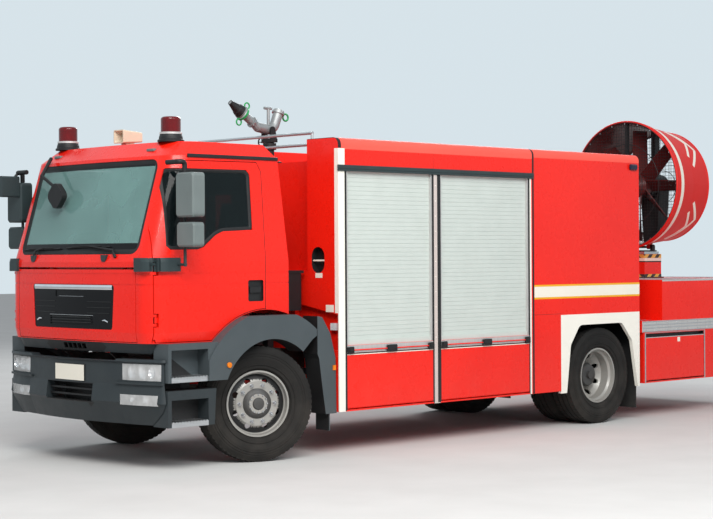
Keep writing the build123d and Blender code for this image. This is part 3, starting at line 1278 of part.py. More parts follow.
def monitor_turn():
    """Swivel collar, post and yoke that carry the monitor."""
    z = MONITOR_BASE_Z + SEAM
    d, pivot_z = BARREL_PIVOT
    collar = rod_z(MONITOR_D, 0, z, z + 30, COLLAR_R)
    post = rod_z(MONITOR_D, 0, z, pivot_z - 88, POST_R)
    wheel = Pos(at(MONITOR_D), -COLLAR_R - 48, z + 46) * (Rot(90, 0, 0) * Torus(46, 7))
    spindle = rod_y(MONITOR_D, -COLLAR_R - 55, 0, z + 46, 9)
    bar = block(MONITOR_D - 46, MONITOR_D + 46, -COLLAR_R - 52, -COLLAR_R - 44, z + 42, z + 50)
    cheeks = []
    for s in (-1, 1):
        y = (s * (ELBOW_R + 7), s * (ELBOW_R + 23))
        cheeks.append(side_prism(((MONITOR_D - 42, pivot_z - 125), (MONITOR_D + 46, pivot_z - 125), (d + 30, pivot_z), (d - 30, pivot_z)), *y))
        cheeks.append(rod_y(d, *y, pivot_z, 30))
    bridge = block(MONITOR_D - 42, MONITOR_D + 46, -ELBOW_R - 23, ELBOW_R + 23, pivot_z - 125, pivot_z - 88)
    pin = rod_y(d, -ELBOW_R - 23, ELBOW_R + 23, pivot_z, 16)
    return joined([collar, post, bridge, pin, wheel, spindle, bar] + cheeks)


def monitor_barrel():
    """Fat elbow pipe with a capped stub behind, a collared barrel, a conical nozzle and ring handles."""
    start, bend, end = [Vector(at(d), 0, z) for d, z in ELBOW_PATH]
    nozzle = Vector(at(NOZZLE_D[0]), 0, NOZZLE_D[1])
    path = FilletPolyline(start, bend, end, radius=ELBOW_BEND)
    elbow = sweep(Plane(origin=start, z_dir=bend - start) * Circle(ELBOW_R), path=path)
    aim = (nozzle - end).normalized()
    frame = Plane(origin=end, x_dir=(0, 1, 0), z_dir=aim)
    reach = (nozzle - end).length
    outline = [(-10, 0), (-10, ELBOW_R - 1), (40, 42), (70, 42), (70, 55), (92, 55), (92, 40), (reach - 55, 40), (reach - 55, 58),
               (reach - 40, 70), (reach - 22, 70), (reach - 14, 60), (reach, 66), (reach + 150, 24), (reach + 158, 24), (reach + 158, 0)]
    barrel = frame * revolve(make_face(Polyline([(r, 0, h) for h, r in outline], close=True)), axis=Axis.Z, revolution_arc=360)
    rings = [frame * Pos(0, k * 96, reach - 32) * Rot(0, 90, 0) * Torus(30, 6.5) for k in (-1, 1)]
    cap = Plane(origin=start, z_dir=start - bend)
    stub = cap * revolve(make_face(Polyline([(0, 0, -12), (62, 0, -12), (62, 0, 10), (52, 0, 14), (52, 0, 26), (30, 0, 34), (0, 0, 34)],
                                            close=True)), axis=Axis.Z, revolution_arc=360)
    grip = Pos(at(ELBOW_PATH[0][0] - 96), 0, ELBOW_PATH[0][1] - 41) * Rot(90, 0, 0) * Torus(34, 8)
    d, z = BARREL_PIVOT
    lever = rod_z(d, 0, z + 30, z + 205, 15) + rod_x(d - 42, d + 52, 0, z + 212, 14)
    link = rod_x(ELBOW_PATH[0][0] - 66, ELBOW_PATH[0][0] - 10, 0, ELBOW_PATH[0][1] - 41, 9)
    body = joined([elbow, barrel, stub, grip, link, lever] + rings)
    return body - rod_y(d, -120, 120, z, 16 + FIT)


# Fan on its lift column

COLUMN_TOP_Z = 1837
INNER_TOP_Z = 1868
TABLE_Z = 1885
TABLE_R = 185
TABLE_FLAT_X = 136
FAN_PIVOT_Z = 1925
SHROUD_WALL = 14
HUB_FAN_R = 150
SHAFT_R = 30
BLADE_COUNT = 8
INLET_BAR_X = 285
BLADE_TIP_R = 680
SHROUD_PROFILE = (
    # offset along the axis, radius
    (FAN_IN_X, FAN_IN_R), (220, 766), (80, 742), (-80, 718), (-260, 698), (FAN_OUT_X, FAN_OUT_R),
)


def square_tube(half, wall, z0, z1):
    tube = block(FAN_AXIS - half, FAN_AXIS + half, -half, half, z0, z1)
    return tube - block(FAN_AXIS - half + wall, FAN_AXIS + half - wall, -half + wall, half - wall, z0 - 5, z1 + 5)


def lift_column_outer():
    return square_tube(COLUMN_HALF, COLUMN_WALL, FLOOR_Z + SEAM, COLUMN_TOP_Z)


def lift_column_inner():
    half = COLUMN_HALF - COLUMN_WALL - COLUMN_FIT
    tube = square_tube(half, 16, FLOOR_Z + 20, INNER_TOP_Z)
    cap = block(FAN_AXIS - COLUMN_HALF + 20, FAN_AXIS + COLUMN_HALF - 20, -COLUMN_HALF + 20, COLUMN_HALF - 20, COLUMN_TOP_Z + 6, INNER_TOP_Z)
    return tube + cap


def fan_turntable():
    """Slew plate with two ears for the tilt pin."""
    plate = rod_z(FAN_AXIS, 0, INNER_TOP_Z + SEAM, TABLE_Z, TABLE_R)
    plate = plate & block(FAN_AXIS - TABLE_FLAT_X, FAN_AXIS + TABLE_FLAT_X, -TABLE_R, TABLE_R, INNER_TOP_Z, TABLE_Z)
    ears = []
    for s in (-1, 1):
        y = (s * 150, s * 182)
        ears.append(block(FAN_AXIS - 30, FAN_AXIS + 30, *y, TABLE_Z - 1, FAN_PIVOT_Z))
        ears.append(rod_y(FAN_AXIS, *y, FAN_PIVOT_Z, 30))
    pin = rod_y(FAN_AXIS, -182, 182, FAN_PIVOT_Z, 14)
    return joined([plate, pin] + ears)


def revolved_x(points, z=FAN_Z):
    """Ring about the fan's axis from (offset along X, radius) corners."""
    face = make_face(Polyline([(x, r, 0) for x, r in points], close=True))
    return Pos(at(FAN_AXIS), 0, z) * revolve(face, axis=Axis.X, revolution_arc=360)


def fan_shroud():
    """Tapered duct with rolled rims, guards at both ends and a saddle below."""
    outline = list(SHROUD_PROFILE) + [(x, r - SHROUD_WALL) for x, r in reversed(SHROUD_PROFILE)]
    duct = revolved_x(outline)
    pieces = [duct]
    for x, r in ((FAN_IN_X, FAN_IN_R), (FAN_OUT_X, FAN_OUT_R)):
        pieces.append(Pos(at(FAN_AXIS + x), 0, FAN_Z) * Rot(0, 90, 0) * Torus(r - SHROUD_WALL / 2, 15))
    saddle = []
    for s in (-1, 1):
        y = (s * 95, s * 146)
        lug = block(FAN_AXIS - 28, FAN_AXIS + 28, *y, FAN_PIVOT_Z, 2010) + rod_y(FAN_AXIS, *y, FAN_PIVOT_Z, 28)
        saddle.append(lug - rod_y(FAN_AXIS, 0, s * 170, FAN_PIVOT_Z, 14 + FIT))
    inside = revolved_x([(x, r - SHROUD_WALL) for x, r in SHROUD_PROFILE] + [(FAN_OUT_X, 0), (FAN_IN_X, 0)])
    return joined(pieces + [lug - inside for lug in saddle])


def fan_motor():
    """Motor in the middle of the duct on flat struts, with a broad drive housing below and a bar across the inlet."""
    case = rod_x(FAN_AXIS - 60, FAN_AXIS - 420, 0, FAN_Z, HUB_FAN_R)
    case = fillet(case.edges().group_by(Axis.X)[0], 50)
    pieces = [case]
    for s in (-1, 1):
        pieces.append(block(FAN_AXIS - 340, FAN_AXIS - 250, 0, s * 760, FAN_Z - 60, FAN_Z + 60))
    pieces.append(block(FAN_AXIS - 340, FAN_AXIS - 250, -32, 32, FAN_Z, FAN_Z + 760))
    pieces.append(section_prism(((-150, FAN_Z), (150, FAN_Z), (95, FAN_Z - 760), (-95, FAN_Z - 760)), FAN_AXIS - 380, FAN_AXIS - 180))
    bar = block(FAN_AXIS + INLET_BAR_X - 16, FAN_AXIS + INLET_BAR_X + 16, -19, 19, FAN_Z - 790, FAN_Z + 790)
    keep = revolved_x([(x, r - SHROUD_WALL - SEAM) for x, r in SHROUD_PROFILE] + [(FAN_OUT_X, 0), (FAN_IN_X, 0)])
    motor = joined(pieces) & keep
    return [motor - rod_x(FAN_AXIS - 200, FAN_AXIS + 10, 0, FAN_Z, SHAFT_R + FIT), bar & keep]


def fan_rotor():
    """Hub, nose cone and twisted blades on the motor's shaft."""
    hub = rod_x(FAN_AXIS - 50, FAN_AXIS + 90, 0, FAN_Z, HUB_FAN_R - 10)
    nose = Pos(at(FAN_AXIS + 90), 0, FAN_Z) * Rot(0, 90, 0) * Pos(0, 0, 45) * Cone(HUB_FAN_R - 10, 60, 90)
    shaft = rod_x(FAN_AXIS - 195, FAN_AXIS - 40, 0, FAN_Z, SHAFT_R)
    pieces = [hub, nose, shaft]
    root = Pos(0, 0, HUB_FAN_R - 40) * Rot(0, 0, 48) * Rectangle(14, 200)
    tip = Pos(0, 0, BLADE_TIP_R) * Rot(0, 0, 64) * Rectangle(7, 190)
    blade = loft([root, tip])
    axis = Pos(at(FAN_AXIS + 20), 0, FAN_Z)
    for i in range(BLADE_COUNT):
        pieces.append(axis * Rot(i * 360 / BLADE_COUNT, 0, 0) * blade)
    return joined(pieces)


if __name__ == "__main__":
    os.makedirs("parts", exist_ok=True)
    outer = cab_solid(0)
    inner = cab_solid(CAB_WALL)

    save("chassis_frame", frame_rails() + cross_members() + air_tanks() + [air_intake()])
    save("front_axle_beam", front_axle())
    save("rear_axle_housing", rear_axle())
    save("leaf_springs", leaf_springs())
    save("engine_block", engine())
    save("driveline", driveline())
    save("front_bumper", front_bumper())
    save("front_lamps", lamps())
    save("entrance_steps", entrance_steps())
    save("front_quarters", rear_quarters())
    save("step_treads", treads(TREAD_Z[0]))
    save("body_front_module", body_front_module())
    save("roller_shutters", shutters())
    save("body_rear_module", body_rear_module())
    save("arch_panels", arch_panels())
    save("rear_deck", rear_deck())
    save("rear_bumper", rear_bumper())
    save("roof_rails", roof_rails())
    save("monitor_base", monitor_base())
    save("lift_column_outer", lift_column_outer())

    save("cab_shell", cab_shell(outer, inner))
    save("cab_fenders", cab_fenders())
    save("windscreen", (cab_solid(GLASS_IN) - cab_solid(GLASS_IN + GLASS_T)) & screen_region())
    dash, steering = cab_interior()
    save("dashboard", dash)
    save("steering_wheel", steering)
    save("cab_seats", [seat(y) for y in (-SEAT_Y, SEAT_Y)])
    marker = [rod_y(510, s * (FENDER_Y[1] + SEAM), s * (FENDER_Y[1] + 14), 894, 24) for s in (-1, 1)]
    save("cab_trim", [cab_sill()] + gutters() + belt_corners() + beacon_bases() + [siren_horn(), front_mirrors()] + marker)
    save("beacon_domes", beacon_domes())
    save("cab_treads", treads(TREAD_Z[1]))
    save("front_flap", front_flap(outer, inner))
    save("front_grille", front_grille(outer))

    for side, name in ((1, "left"), (-1, "right")):
        door, glass = door_pieces(outer, inner, side)
        save(f"door_{name}", door)
        save(f"door_glass_{name}", glass)
        save(f"mirrors_{name}", mirror_pieces(side))
        save(f"knuckle_{name}", knuckle(side))
        front_tyre, front_rim = front_wheel(side)
        save(f"tyre_front_{name}", front_tyre)
        save(f"rim_front_{name}", front_rim)
        tyres, rims = rear_wheels(side)
        save(f"tyres_rear_{name}", tyres)
        save(f"rims_rear_{name}", rims)
        for i, (front, rear) in enumerate(SHUTTERS):
            save(f"step_flap_{name}_{i + 1}", hanging_flap(front, rear, *FLAP_Z, side))
        save(f"deck_hatch_{name}", hanging_flap(*HATCH_D, *HATCH_Z, side))

    save("monitor_turn", monitor_turn())
    save("monitor_barrel", monitor_barrel())
    save("lift_column_inner", lift_column_inner())
    save("fan_turntable", fan_turntable())
    save("fan_shroud", fan_shroud())
    save("fan_motor", fan_motor())
    save("fan_rotor", fan_rotor())
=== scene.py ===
import bpy, bmesh, math, json
from mathutils import Vector, Matrix
from mathutils.bvhtree import BVHTree


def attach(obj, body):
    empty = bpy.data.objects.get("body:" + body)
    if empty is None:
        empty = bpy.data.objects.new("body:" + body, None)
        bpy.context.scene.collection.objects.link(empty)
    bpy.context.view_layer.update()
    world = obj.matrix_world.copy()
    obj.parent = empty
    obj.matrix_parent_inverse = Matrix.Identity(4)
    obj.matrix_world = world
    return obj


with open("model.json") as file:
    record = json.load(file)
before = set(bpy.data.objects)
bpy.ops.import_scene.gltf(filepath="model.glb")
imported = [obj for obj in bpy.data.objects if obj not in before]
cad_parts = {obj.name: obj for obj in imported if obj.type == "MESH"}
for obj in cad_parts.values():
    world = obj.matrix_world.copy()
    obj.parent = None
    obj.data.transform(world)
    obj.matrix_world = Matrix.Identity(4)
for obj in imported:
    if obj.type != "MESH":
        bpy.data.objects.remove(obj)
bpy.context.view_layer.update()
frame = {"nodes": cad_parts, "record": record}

# Places of the vehicle in millimetres: along it from the front axle, off its middle plane, above the ground
FRONT_AXLE = 3.315      # metres from the frame's origin
REAR_AXLE = -4725
WHEEL_Z = 522
KING_PIN_Y = 880
STEER_AT_REST = 20      # degrees
SIDE = 1250             # outside of the body's walls
ROOF = 2940
ROLL_R = 70             # rounded edge between wall and roof
ROOF_DECK = 2745        # recessed middle of both roofs
DECK_TOP = 1545         # rear deck
TAIL = -8000
FAN_D, FAN_Z = -7120, 2680
BAYS = ((-880, -2054), (-2153, -3500))      # shutter openings, front and rear end
SIDES = (("left", 1), ("right", -1))


def place(d, y, z):
    """Place in metres from one in the vehicle's millimetres."""
    return Vector((FRONT_AXLE + d / 1000, y / 1000, z / 1000))


# Camera, from the picture's vanishing points and known sizes
YAW, PITCH, ROLL = (math.radians(angle) for angle in (46.062, -0.1647, -0.3368))
FOCAL, PICTURE_WIDTH, SENSOR = 1688.87, 713, 36
ahead = Vector((-math.cos(YAW) * math.cos(PITCH), -math.sin(YAW) * math.cos(PITCH), math.sin(PITCH)))
level_right = ahead.cross(Vector((0, 0, 1))).normalized()
level_up = level_right.cross(ahead)
right = level_right * math.cos(ROLL) + level_up * math.sin(ROLL)
above = -level_right * math.sin(ROLL) + level_up * math.cos(ROLL)
lens = bpy.data.cameras.new("camera")
lens.lens = SENSOR * FOCAL / PICTURE_WIDTH
lens.sensor_width = SENSOR
lens.sensor_fit = "HORIZONTAL"
lens.clip_end = 200
camera = bpy.data.objects.new("camera", lens)
bpy.context.scene.collection.objects.link(camera)
facing = Matrix((right, above, -ahead)).transposed().to_4x4()
camera.matrix_world = Matrix.Translation(place(9929, 12606, 1851)) @ facing
bpy.context.scene.camera = camera
bpy.context.scene.view_settings.view_transform = "Standard"


# Node helpers, for materials, the world and geometry trees

def feed(tree, socket, value):
    """Give an input another node's output, or a value of its own."""
    if hasattr(value, "is_output"):
        tree.links.new(value, socket)
    else:
        socket.default_value = value


def node(tree, kind, inputs=(), out=0, **settings):
    """Add a node, feed its inputs and return one of its outputs."""
    made = tree.nodes.new(kind)
    for name, value in settings.items():
        setattr(made, name, value)
    for key, value in dict(inputs).items():
        feed(tree, made.inputs[key], value)
    return made.outputs[out]


def calc(tree, operation, first, second=0.5):
    """Output of a sum; a sum of one value leaves the second alone."""
    return node(tree, "ShaderNodeMath", {0: first, 1: second}, operation=operation)


# Materials

def coords(tree, scale=(1, 1, 1)):
    own = node(tree, "ShaderNodeTexCoord", out="Object")
    return node(tree, "ShaderNodeMapping", {"Vector": own, "Scale": scale})


def noise(tree, where, scale, detail):
    inputs = {"Vector": where, "Scale": scale, "Detail": detail, "Roughness": 0.55}
    return node(tree, "ShaderNodeTexNoise", inputs, "Fac")


def spread(tree, value, low, high, start=0.0, end=1.0):
    """Turn the span from start to end into the span from low to high."""
    inputs = {"Value": value, "From Min": start, "From Max": end, "To Min": low, "To Max": high}
    return node(tree, "ShaderNodeMapRange", inputs, "Result")


def blend(tree, share, first, second):
    """Mix of two colours, each a triple or another node's output."""
    pair = [tone if hasattr(tone, "is_output") else (*tone, 1) for tone in (first, second)]
    return node(tree, "ShaderNodeMix", {0: share, 6: pair[0], 7: pair[1]}, 2, data_type="RGBA")


def bump(tree, shader, height, strength, distance):
    inputs = {"Height": height, "Strength": strength, "Distance": distance}
    feed(tree, shader.inputs["Normal"], node(tree, "ShaderNodeBump", inputs, "Normal"))


def grime(tree, where, tone, dirt, amount, top=1.1):
    """Dust that gathers low down and in cloudy patches."""
    low = spread(tree, node(tree, "ShaderNodeSeparateXYZ", {0: where}, "Z"), amount, 0.0, 0.25, top)
    cloud = spread(tree, noise(tree, where, 5, 4), 0.2, 1.0, 0.35, 0.75)
    return blend(tree, calc(tree, "MULTIPLY", low, cloud), tone, dirt)


def surface(name, tones, patches, rough, marks, dirt=None, grain=None, stretch=(1, 1, 1), **inputs):
    """Two tones in soft patches and a roughness that drifts, then dust and fine grain where given."""
    material = bpy.data.materials.new(name)
    material.use_nodes = True
    tree = material.node_tree
    shader = tree.nodes["Principled BSDF"]
    where = coords(tree, stretch)
    colour = blend(tree, spread(tree, noise(tree, where, *patches), 0.0, 1.0, 0.3, 0.7), *tones)
    if dirt:
        colour = grime(tree, where, colour, *dirt)
    feed(tree, shader.inputs["Base Color"], colour)
    feed(tree, shader.inputs["Roughness"], spread(tree, noise(tree, where, *marks), *rough))
    if grain:
        bump(tree, shader, noise(tree, where, grain[0], 2), *grain[1:])
    for label, value in inputs.items():
        shader.inputs[label.replace("_", " ")].default_value = value
    return material


def paint(name, light, dark, rough, coat, metallic=0.0, dust=0.25, gloss=0.3):
    return surface(name, (light, dark), (1.3, 2), (rough, rough + 0.12), (9, 4), ((0.33, 0.25, 0.19), dust),
                   (260, 0.02, 0.001), Specular_IOR_Level=gloss, Coat_Weight=coat, Coat_Roughness=0.05,
                   Metallic=metallic)


def plastic(name, light, dark, rough, grain=900, strength=0.12, dust=0.3, gloss=0.28):
    return surface(name, (light, dark), (3, 3), (rough - 0.06, rough + 0.14), (14, 4),
                   ((0.22, 0.19, 0.16), dust), (grain, strength, 0.0006), Specular_IOR_Level=gloss)


def metal(name, light, dark, rough=0.3, stretch=(1, 1, 1), grain=160, strength=0.06, metallic=1.0):
    return surface(name, (light, dark), (6, 4), (rough - 0.07, rough + 0.12), (grain, 3), None,
                   (grain, strength, 0.0006), stretch, Metallic=metallic)


def glass(name, tint, alpha, gloss, rough=0.02):
    tones = (tint, tuple(c * 0.8 for c in tint))
    return surface(name, tones, (2, 2), (rough, rough + 0.05, 0.45, 0.8), (20, 3), Alpha=alpha,
                   Specular_IOR_Level=gloss)


def moulded(name, tint, alpha, rough, ribs):
    """Moulded lens: tinted, part clear, with fine upright ribs."""
    tones = (tint, tuple(c * 0.75 for c in tint))
    made = surface(name, tones, (12, 2), (rough, rough + 0.06, 0.4, 0.8), (30, 3), Alpha=alpha,
                   Coat_Weight=0.15, Specular_IOR_Level=0.3)
    tree = made.node_tree
    inputs = {"Vector": coords(tree), "Scale": ribs}
    wave = node(tree, "ShaderNodeTexWave", inputs, "Fac", bands_direction="Y")
    bump(tree, tree.nodes["Principled BSDF"], wave, 0.35, 0.002)
    return made


def lined(name, first, second, pitch, lean, rough=0.35):
    """Slanted warning stripes in two colours, from the object's own place."""
    made = surface(name, (first, second), (1, 0), (rough, rough + 0.2), (22, 4), grain=(300, 0.05, 0.0006))
    tree = made.node_tree
    where = coords(tree)
    x, y, z = (node(tree, "ShaderNodeSeparateXYZ", {0: where}, axis) for axis in "XYZ")
    run = calc(tree, "ADD", calc(tree, "ADD", x, y), calc(tree, "MULTIPLY", z, lean))
    stripe = calc(tree, "GREATER_THAN", calc(tree, "FRACT", calc(tree, "DIVIDE", run, pitch)), 0.5)
    worn = grime(tree, where, blend(tree, stripe, first, second), (0.20, 0.17, 0.13), 0.4, 2.5)
    feed(tree, tree.nodes["Principled BSDF"].inputs["Base Color"], worn)
    return made


RED = paint("red paint", (0.83, 0.014, 0.005), (0.77, 0.011, 0.004), 0.22, 0.16, dust=0.05)
# Paler red without coat for the rounded roof edges: painted sky sheen, the sky's reflection on the roll painted
# into the colour
SKY_SHEEN_RED = paint("roof edge red", (0.90, 0.105, 0.075), (0.86, 0.092, 0.066), 0.45, 0.0, dust=0.02)
FANRED = paint("fan red", (0.66, 0.014, 0.010), (0.58, 0.012, 0.009), 0.45, 0.0, dust=0.03)
# Darker copy of the fan's red: painted shade, for the duct's inside and the rotor within it
FAN_RED_IN_SHADE = paint("dark fan red", (0.115, 0.014, 0.013), (0.085, 0.011, 0.011), 0.35, 0.2, dust=0.05)
POST = paint("pale post", (0.58, 0.50, 0.47), (0.53, 0.46, 0.43), 0.3, 0.2, dust=0.06)
CREAM = paint("cream paint", (0.86, 0.84, 0.76), (0.82, 0.80, 0.72), 0.25, 0.3, dust=0.08)
WHITE = paint("white band", (0.84, 0.80, 0.70), (0.79, 0.75, 0.65), 0.3, 0.2, dust=0.06)
YELLOW = paint("yellow band", (0.83, 0.42, 0.010), (0.78, 0.38, 0.010), 0.3, 0.2, dust=0.10)
HORNCREAM = paint("horn cream", (0.70, 0.60, 0.46), (0.62, 0.53, 0.40), 0.4, 0.2, dust=0.05)
GREEN = paint("grip green", (0.012, 0.33, 0.085), (0.010, 0.26, 0.065), 0.4, 0.2, dust=0.0)
WHEELSILVER = paint("wheel silver", (0.34, 0.335, 0.315), (0.25, 0.245, 0.23), 0.35, 0.2, 0.25, 0.2)
GLOSSBLACK = paint("gloss black", (0.005, 0.005, 0.006), (0.003, 0.003, 0.004), 0.28, 0.06, dust=0.0,
                   gloss=0.14)
CHASSIS = paint("black steel", (0.018, 0.018, 0.019), (0.010, 0.010, 0.011), 0.45, 0.0, dust=0.45)
GREY = plastic("grey plastic", (0.064, 0.079, 0.086), (0.053, 0.066, 0.073), 0.38, dust=0.08)
LOWGREY = plastic("bumper grey", (0.027, 0.035, 0.039), (0.021, 0.028, 0.032), 0.42, dust=0.05)
MIRRORGREY = plastic("mirror grey", (0.150, 0.180, 0.178), (0.128, 0.154, 0.153), 0.42, dust=0.1)
DARKTEAL = plastic("cover grey", (0.030, 0.045, 0.048), (0.024, 0.036, 0.039), 0.40, dust=0.1)
BLACK = plastic("black plastic", (0.014, 0.015, 0.016), (0.010, 0.010, 0.011), 0.45, dust=0.05)
LINING = plastic("cab lining", (0.045, 0.047, 0.050), (0.035, 0.037, 0.040), 0.7, 700, 0.2, dust=0.0)
RUBBER = plastic("rubber", (0.016, 0.017, 0.018), (0.012, 0.012, 0.013), 0.55, 400, 0.2, dust=0.1)
TYRE = plastic("tyre rubber", (0.017, 0.016, 0.015), (0.010, 0.010, 0.010), 0.66, 300, 0.25, 0.12, 0.15)
CLOTH = plastic("seat cloth", (0.030, 0.031, 0.036), (0.020, 0.020, 0.024), 0.9, 1500, 0.4, dust=0.0)
CAST = metal("cast metal", (0.10, 0.10, 0.10), (0.06, 0.055, 0.05), 0.6, metallic=0.6, strength=0.3)
GUNGREY = metal("cast monitor", (0.33, 0.35, 0.35), (0.25, 0.265, 0.27), 0.45, grain=120, strength=0.15,
                metallic=0.5)
SILVER = metal("brushed aluminium", (0.62, 0.63, 0.64), (0.50, 0.51, 0.52), 0.32, (1, 1, 8))
EDGING = metal("aluminium edging", (0.58, 0.57, 0.56), (0.50, 0.49, 0.48), 0.42, (8, 1, 1), metallic=0.5)
STEEL = metal("bright steel", (0.60, 0.60, 0.61), (0.45, 0.45, 0.46), 0.22)
CHROME = metal("chrome", (0.80, 0.82, 0.85), (0.70, 0.72, 0.75), 0.12, grain=40, strength=0.01)
MIRROR = metal("mirror glass", (0.86, 0.88, 0.90), (0.84, 0.86, 0.88), 0.03, grain=20, strength=0.0)
SHUTTER = metal("shutter slats", (0.56, 0.61, 0.575), (0.53, 0.58, 0.545), 0.45, metallic=0.1)
GLASS = glass("side glass", (0.006, 0.010, 0.011), 0.88, 0.12)
SCREEN = glass("windscreen glass", (0.21, 0.39, 0.37), 0.57, 0.5)
LENS = moulded("clear lens", (0.92, 0.93, 0.93), 0.52, 0.04, 30)
AMBER = moulded("amber lens", (0.83, 0.22, 0.010), 0.95, 0.12, 60)
REDLENS = moulded("red lens", (0.50, 0.006, 0.006), 0.95, 0.12, 60)
DOME = moulded("beacon red", (0.13, 0.002, 0.004), 0.95, 0.05, 18)
BLUELENS = moulded("blue lens", (0.004, 0.007, 0.030), 0.97, 0.08, 60)
PALELENS = moulded("pale lens", (0.72, 0.74, 0.76), 0.95, 0.12, 40)
HAZARD = lined("warning stripes", (0.012, 0.012, 0.012), (0.80, 0.50, 0.08), 0.15, 1.0)

# What each slot of the solids looks like, and the solids whose look differs from their slot's
SLOTS = {"red_paint": RED, "grey_plastic": GREY, "black_steel": CHASSIS, "cast_metal": CAST,
         "pale_shutter": SHUTTER, "cream_paint": CREAM, "silver": SILVER, "wheel_silver": WHEELSILVER,
         "tyre": TYRE, "clear": GLASS, "lamp": LENS, "seat_cloth": CLOTH, "black_plastic": BLACK,
         "gloss_black": GLOSSBLACK, "rubber": RUBBER, "bright_steel": STEEL, "beacon_red": DOME}
OWN_LOOK = {"windscreen": SCREEN, "front_bumper": LOWGREY, "entrance_steps": LOWGREY, "fan_shroud": FANRED,
            "fan_rotor": FAN_RED_IN_SHADE, "monitor_barrel": GUNGREY, "monitor_base": BLACK, "monitor_turn": BLACK}
slot_of = {part["node"]: part["material_slot"] for part in frame["record"]["subparts"]}
for name, solid in frame["nodes"].items():
    solid.data.materials.clear()
    solid.data.materials.append(OWN_LOOK.get(name, SLOTS[slot_of[name]]))


# Second finishes on some faces of a solid

def dress(name, *rules):
    """Each rule is a finish and a test of the place of a face's middle and of the face's direction."""
    mesh = frame["nodes"][name].data
    first = len(mesh.materials)
    for material, _ in rules:
        mesh.materials.append(material)
    for face in mesh.polygons:
        c = face.center
        d, y, z = (c.x - FRONT_AXLE) * 1000, c.y * 1000, c.z * 1000
        for i, (_, test) in enumerate(rules):
            if test(d, y, z, face.normal):
                face.material_index = first + i
                break


def under(limit):
    return (-math.inf, limit)


def over(limit):
    return (limit, math.inf)


ANYWHERE = (-math.inf, math.inf)


def within(d=ANYWHERE, off=ANYWHERE, z=ANYWHERE):
    """Test for a face whose middle lies in a span along, off the middle plane and above the ground."""
    return lambda fd, fy, fz, n: d[0] < fd < d[1] and off[0] < abs(fy) < off[1] and z[0] < fz < z[1]


RAIL_Y, RAIL_FRONT, LINE_FOOT, LINE_TOP = 1249, 1268.5, 955, 969       # foot rail of a shutter and its red line
EDGE_WIDTH = 27         # bright strip at each end of the slats
DUCT_FOOT_TOP = 1925
CAB_MIDDLE = (520, 1950)
HUB_Y, HUB_R = 1010, 131
WELL_RADII = (214, 263)


def rail_but_line(d, y, z, normal):
    """The dark part of a shutter's foot rail: all of it but the red line along its front."""
    on_line = LINE_FOOT <= z <= LINE_TOP and normal.x ** 2 <= 0.5 and abs(y) <= RAIL_FRONT
    return abs(y) > RAIL_Y and not on_line


def near_bay_edge(d, y, z, normal):
    return any(front - EDGE_WIDTH < d < front + 1 or rear - 1 < d < rear + EDGE_WIDTH for front, rear in BAYS)


def shaded_inside_duct(d, y, z, normal):
    """Whether a face above the duct's foot looks towards the duct's axis: these faces are given the fan red in
    painted shade.
    """
    return normal.y * y + normal.z * (z - FAN_Z) < 0 and z > DUCT_FOOT_TOP


def under_fender(d, y, z, normal):
    """Whether a face looks towards the front wheel's middle."""
    return normal.x * d + normal.z * (z - WHEEL_Z) < -0.35 * math.hypot(d, z - WHEEL_Z)


def behind_quarter(d, y, z, normal):
    """Whether a face inside a quarter panel, behind the axle, looks ahead."""
    return abs(y) < 1212 and normal.x > 0.3 and d < 0


def inside_cab(d, y, z, normal):
    return normal.dot(Vector((d - CAB_MIDDLE[0], y, z - CAB_MIDDLE[1]))) < 0


def rear_hub(d, y, z, normal):
    return abs(y) > HUB_Y and math.hypot(d - REAR_AXLE, z - WHEEL_Z) < HUB_R


def rim_well_shadow(side):
    """Test for the well between the disc and the edge of a front rim, which stands turned at rest; the well is
    made black as painted shadow.
    """
    def test(d, y, z, normal):
        angle, off = math.radians(STEER_AT_REST), y - side * KING_PIN_Y
        along = d * math.cos(angle) - off * math.sin(angle)
        return WELL_RADII[0] < math.hypot(along, z - WHEEL_Z) < WELL_RADII[1]
    return test


# Painted shade: the inner faces of the step wells are made black for the shade in them
step_well_shade = (BLACK, within((735, 1125), under(1205), (425, 940)))
rear_arch = (BLACK, within((-5420, -4020), under(1245), under(1140)))
deck_bay = (BLACK, within((-6665, -5465), under(1245), (398, 958)))
# Painted shade: the duct's inside is given the darker copy of the fan's red
dress("fan_shroud", (FAN_RED_IN_SHADE, shaded_inside_duct))
dress("roller_shutters", (BLACK, rail_but_line), (RED, within(off=over(RAIL_Y))), (EDGING, near_bay_edge))
dress("roof_rails", (RUBBER, within(off=over(RAIL_Y), z=over(2600))),
      (WHITE, within(off=under(1200), z=under(2000))))
dress("front_lamps", (AMBER, within((-765, -720))), (PALELENS, within(under(-765))))
dress("cab_trim", (AMBER, within(off=over(1218), z=under(950))),
      (HORNCREAM, within(off=under(100), z=over(2840))), (DARKTEAL, within(z=(1700, 1850))),
      (RUBBER, within(off=over(950), z=(2700, 2740))), (LOWGREY, within(off=over(450), z=under(1101))))
dress("entrance_steps", step_well_shade)
dress("cab_fenders", step_well_shade, (BLACK, under_fender))
dress("body_front_module", (BLACK, within((-860, -786), (870, 1066), (1600, 1990))))
dress("body_rear_module", rear_arch)
dress("rear_deck", deck_bay, rear_arch)
dress("arch_panels", (RUBBER, within((-5380, -5364), under(1215))))
dress("front_quarters", (BLACK, behind_quarter))
dress("front_bumper", (BLACK, within(off=under(345), z=(555, 765))))
dress("rear_bumper", (REDLENS, within(under(-7930))))
dress("chassis_frame", (BLACK, within(z=over(980))))
dress("cab_shell", (LINING, inside_cab))
